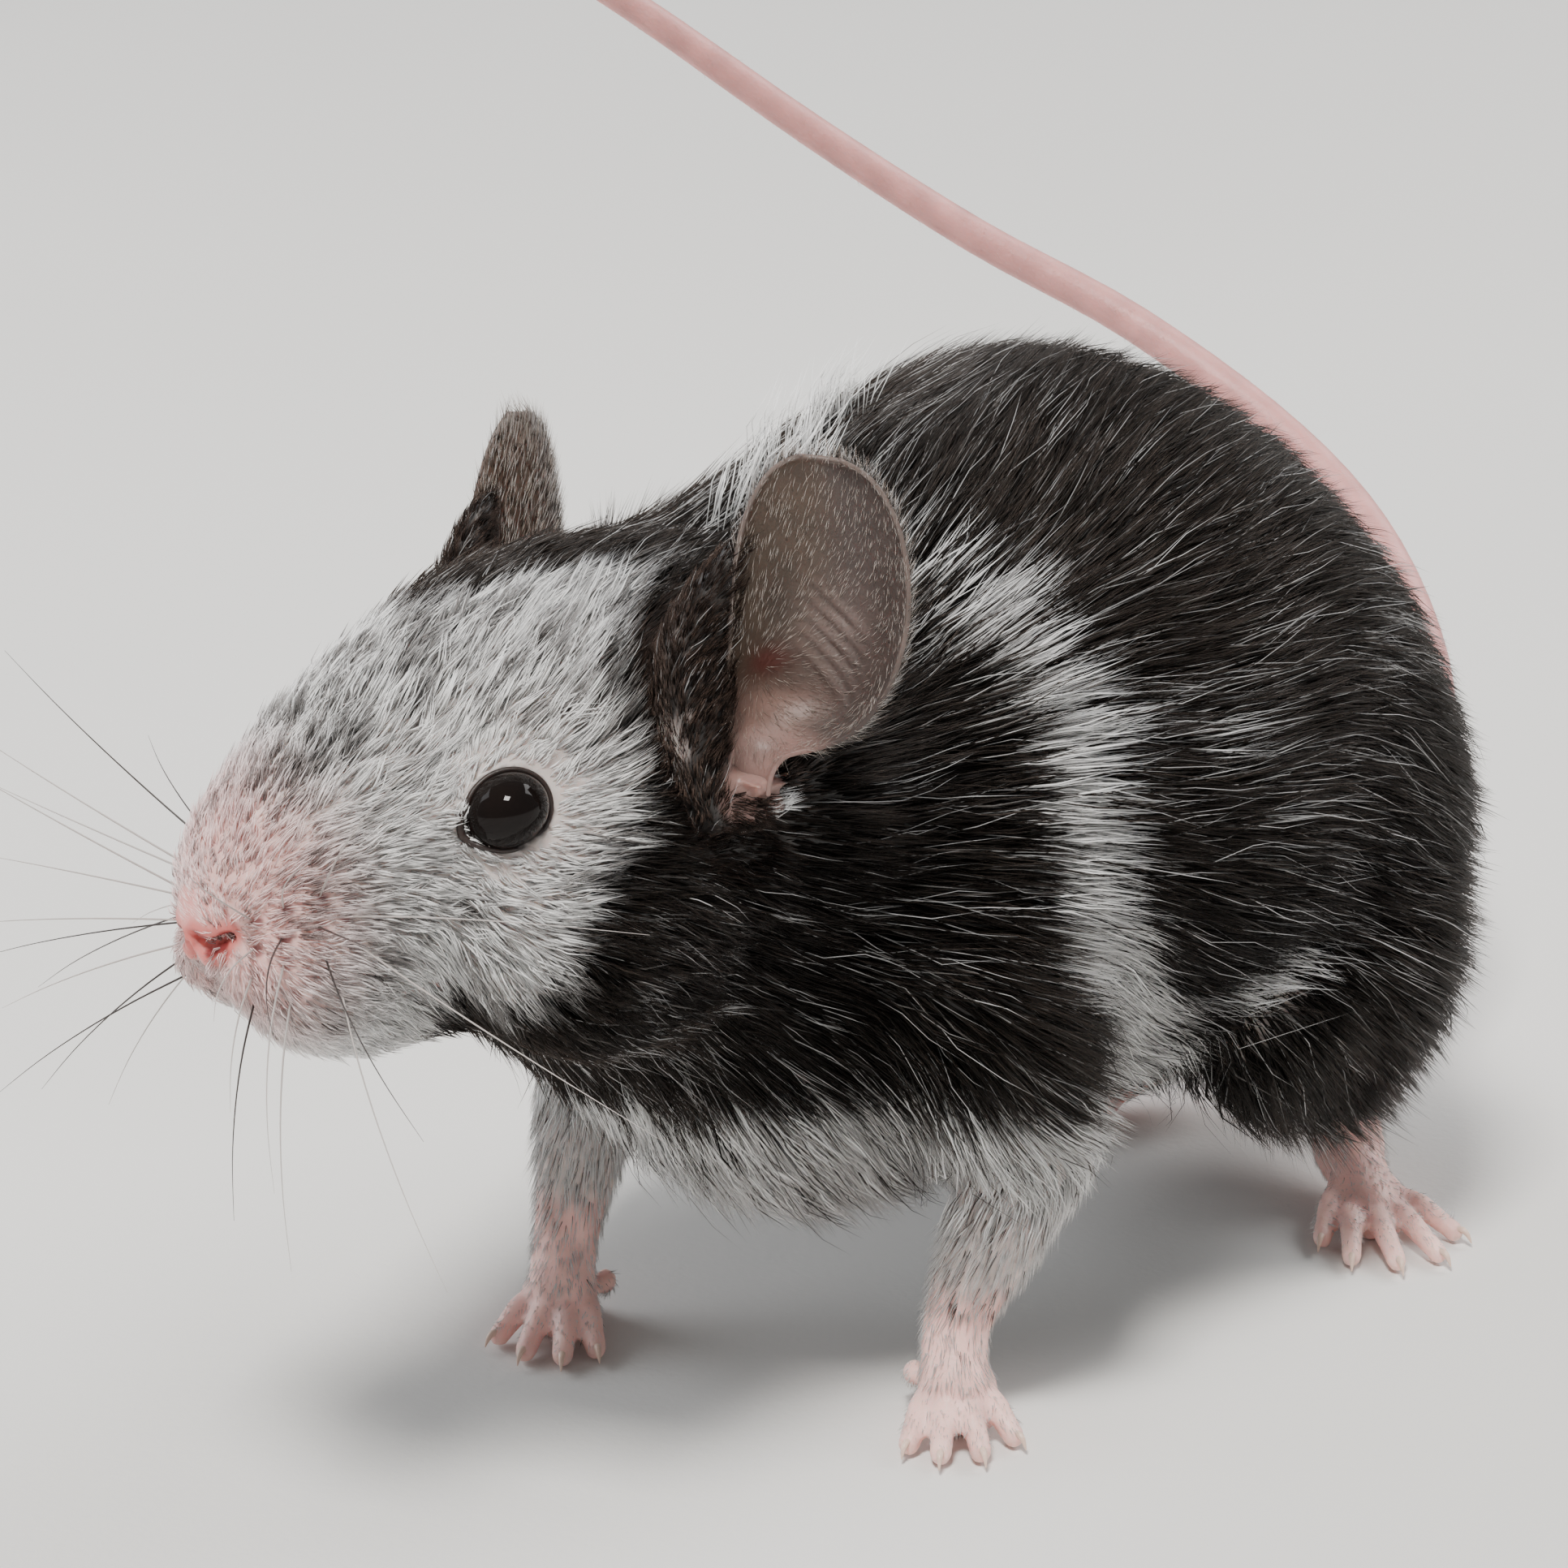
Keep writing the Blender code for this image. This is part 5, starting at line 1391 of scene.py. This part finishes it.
# ---- Coat: ears -------------------------------------------------------------
# Sparse pale down inside the dishes, and a closer brown velvet on their backs.
# The down fans out from the canal, and the velvet runs up to the tip.
INSIDE_DOWN, BACK_VELVET = (0.34, 0.28, 0.235), (0.085, 0.066, 0.056)
ear_rings, ear_order = [[], []], [[], []]
ear_sizes, ear_sides, ear_ups, ear_tones = [], [], [], []
dice = np.random.default_rng(45)
for ear in EARS:
    surface = ear_surfaces[ear["name"]]
    matrix = ear_matrix(ear)
    up_ear = np.array(matrix.to_3x3() @ Vector((0, 0, 1)))
    front = -np.array(matrix.to_3x3() @ Vector((0, 1, 0)))
    canal_place = np.array(matrix @ Vector((-0.8, 1.6, 4.2)))
    patch_normals = surface[1][surface[2]].mean(axis=1)
    for inside, density, width, length in ((True, 24.0, 0.025, 0.60), (False, 36.0, 0.040, 0.95)):
        facing = ((patch_normals @ front) > 0.0) == inside
        upper = in_ear(ear, surface[4])[:, 2] > 0.8
        rows, normals = scatter(dice, surface, lambda middles: facing * upper, density)
        count = len(rows)
        ways = unit(rows - canal_place) + up_ear * 0.4 if inside else np.tile(up_ear, (count, 1))
        ways = unit(ways + dice.normal(0.0, 0.16, (count, 3)))
        ways = unit(ways - (ways * normals).sum(axis=1)[:, None] * normals)
        lengths = length * dice.uniform(0.6, 1.3, count)
        lifts = np.radians(dice.uniform(10.0, 26.0, count))
        ear_rings[0].append(rows - normals * 0.04)
        rising = ways * np.cos(lifts)[:, None] + normals * np.sin(lifts)[:, None]
        ear_rings[1].append(rows + rising * lengths[:, None])
        ear_sizes.append(width / 2 * dice.uniform(0.7, 1.3, count))
        ear_sides.append(np.cross(ways, normals))
        ear_ups.append(normals)
        shade = INSIDE_DOWN if inside else BACK_VELVET
        ear_tones.append(np.array(shade) * dice.uniform(0.35, 1.5, (count, 1)))
        ear_order[0].append(rows[:, 2] + 100.0 * ear["side"])
        ear_order[1].append(rows[:, 0])
join = np.concatenate
ear_tones = join(ear_tones)
# The down is painted a fifth darker at its roots than at its tips: painted shade near the skin.
build_strands("ear_down", fur, [join(part) for part in ear_rings], [join(ear_sizes)],
              join(ear_sides), join(ear_ups), [ear_tones * 0.8, ear_tones],
              [join(part) for part in ear_order])

# ---- Claws ------------------------------------------------------------------
# A slim curved claw of clear horn on the end of every toe,
# sprung from the top of the toe's end and bent down at its point.
def finished(name, bm):
    """Turn the faces outwards, bring the mesh to metres and make the object."""
    bmesh.ops.recalc_face_normals(bm, faces=bm.faces[:])
    bmesh.ops.scale(bm, vec=(MM,) * 3, verts=bm.verts)
    obj = mesh_object(name, bm)
    obj.data.shade_smooth()
    return obj


CLAW_RADII = [0.17, 0.15, 0.10, 0.03]
horn, shader, start = finish_of("claw horn", 0.3, 0.5)
tint(start, shader, grain(start, 3000.0), (0.62, 0.42, 0.34), (0.78, 0.60, 0.50))
bm = bmesh.new()
for feet, toes, sizes in ((FORE_FEET, FORE_DIGITS, FORE_TOES), (HIND_FEET, HIND_DIGITS, HIND_TOES)):
    for foot in feet:
        for root, tip in toes:
            line = digit_line(root, tip, *sizes)
            ahead = (line[-1] - line[-2]).normalized()
            ahead.z = 0.0
            top = line[-1] + Vector((0.0, 0.0, 0.12))
            curve = [top, top + ahead * 0.5 + Vector((0, 0, 0.08)), top + ahead * 0.8 + Vector((0, 0, -0.1)),
                     top + ahead * 1.0 + Vector((0, 0, -0.38))]
            rod(bm, curve, CLAW_RADII, 10, 3, foot_frame(foot))
claws = finished("claws", bm)
claws.data.materials.append(horn)
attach(claws, "root")

# ---- Whiskers ---------------------------------------------------------------
# Fine tapering bristles from the rows on the upper lip, some dark and some pale,
# longest at the rear. They spread from row to row and sag towards their tips.
WHISKER_RADII = [0.045, 0.036, 0.027, 0.018, 0.007]
DARK_BRISTLE, PALE_BRISTLE = (0.03, 0.022, 0.02), (0.42, 0.38, 0.36)
whisker_horn, shader, start = painted_finish("whisker", 0.35, 0.4)
dice = np.random.default_rng(51)
bm = bmesh.new()
tones = []
to_skin = HEAD.inverted()
for (side, number), roots in whisker_roots.items():
    for place, root in enumerate(roots):
        root = to_skin @ root - Vector((side * 0.3, 0.0, 0.0))
        length = dice.uniform(8.0, 11.0) + 2.2 * place
        way = Vector((side * 0.8, -0.85 + 0.30 * place, 0.5 - 0.36 * number)).normalized()
        way += Vector(dice.normal(0.0, 0.07, 3))
        sag = Vector((0.0, 0.45, -0.25)) * length / 18.0
        line = [root + way * length * t + sag * (t * t * 6.0) for t in (0.0, 0.25, 0.5, 0.75, 1.0)]
        before = len(bm.verts)
        rod(bm, line, WHISKER_RADII, 6, 4, HEAD)
        shade = DARK_BRISTLE if dice.random() < 0.4 else PALE_BRISTLE
        tones += [shade] * (len(bm.verts) - before)
whiskers = finished("whiskers", bm)
paint(whiskers.data, np.array(tones))
whiskers.data.materials.append(whisker_horn)
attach(whiskers, "root")
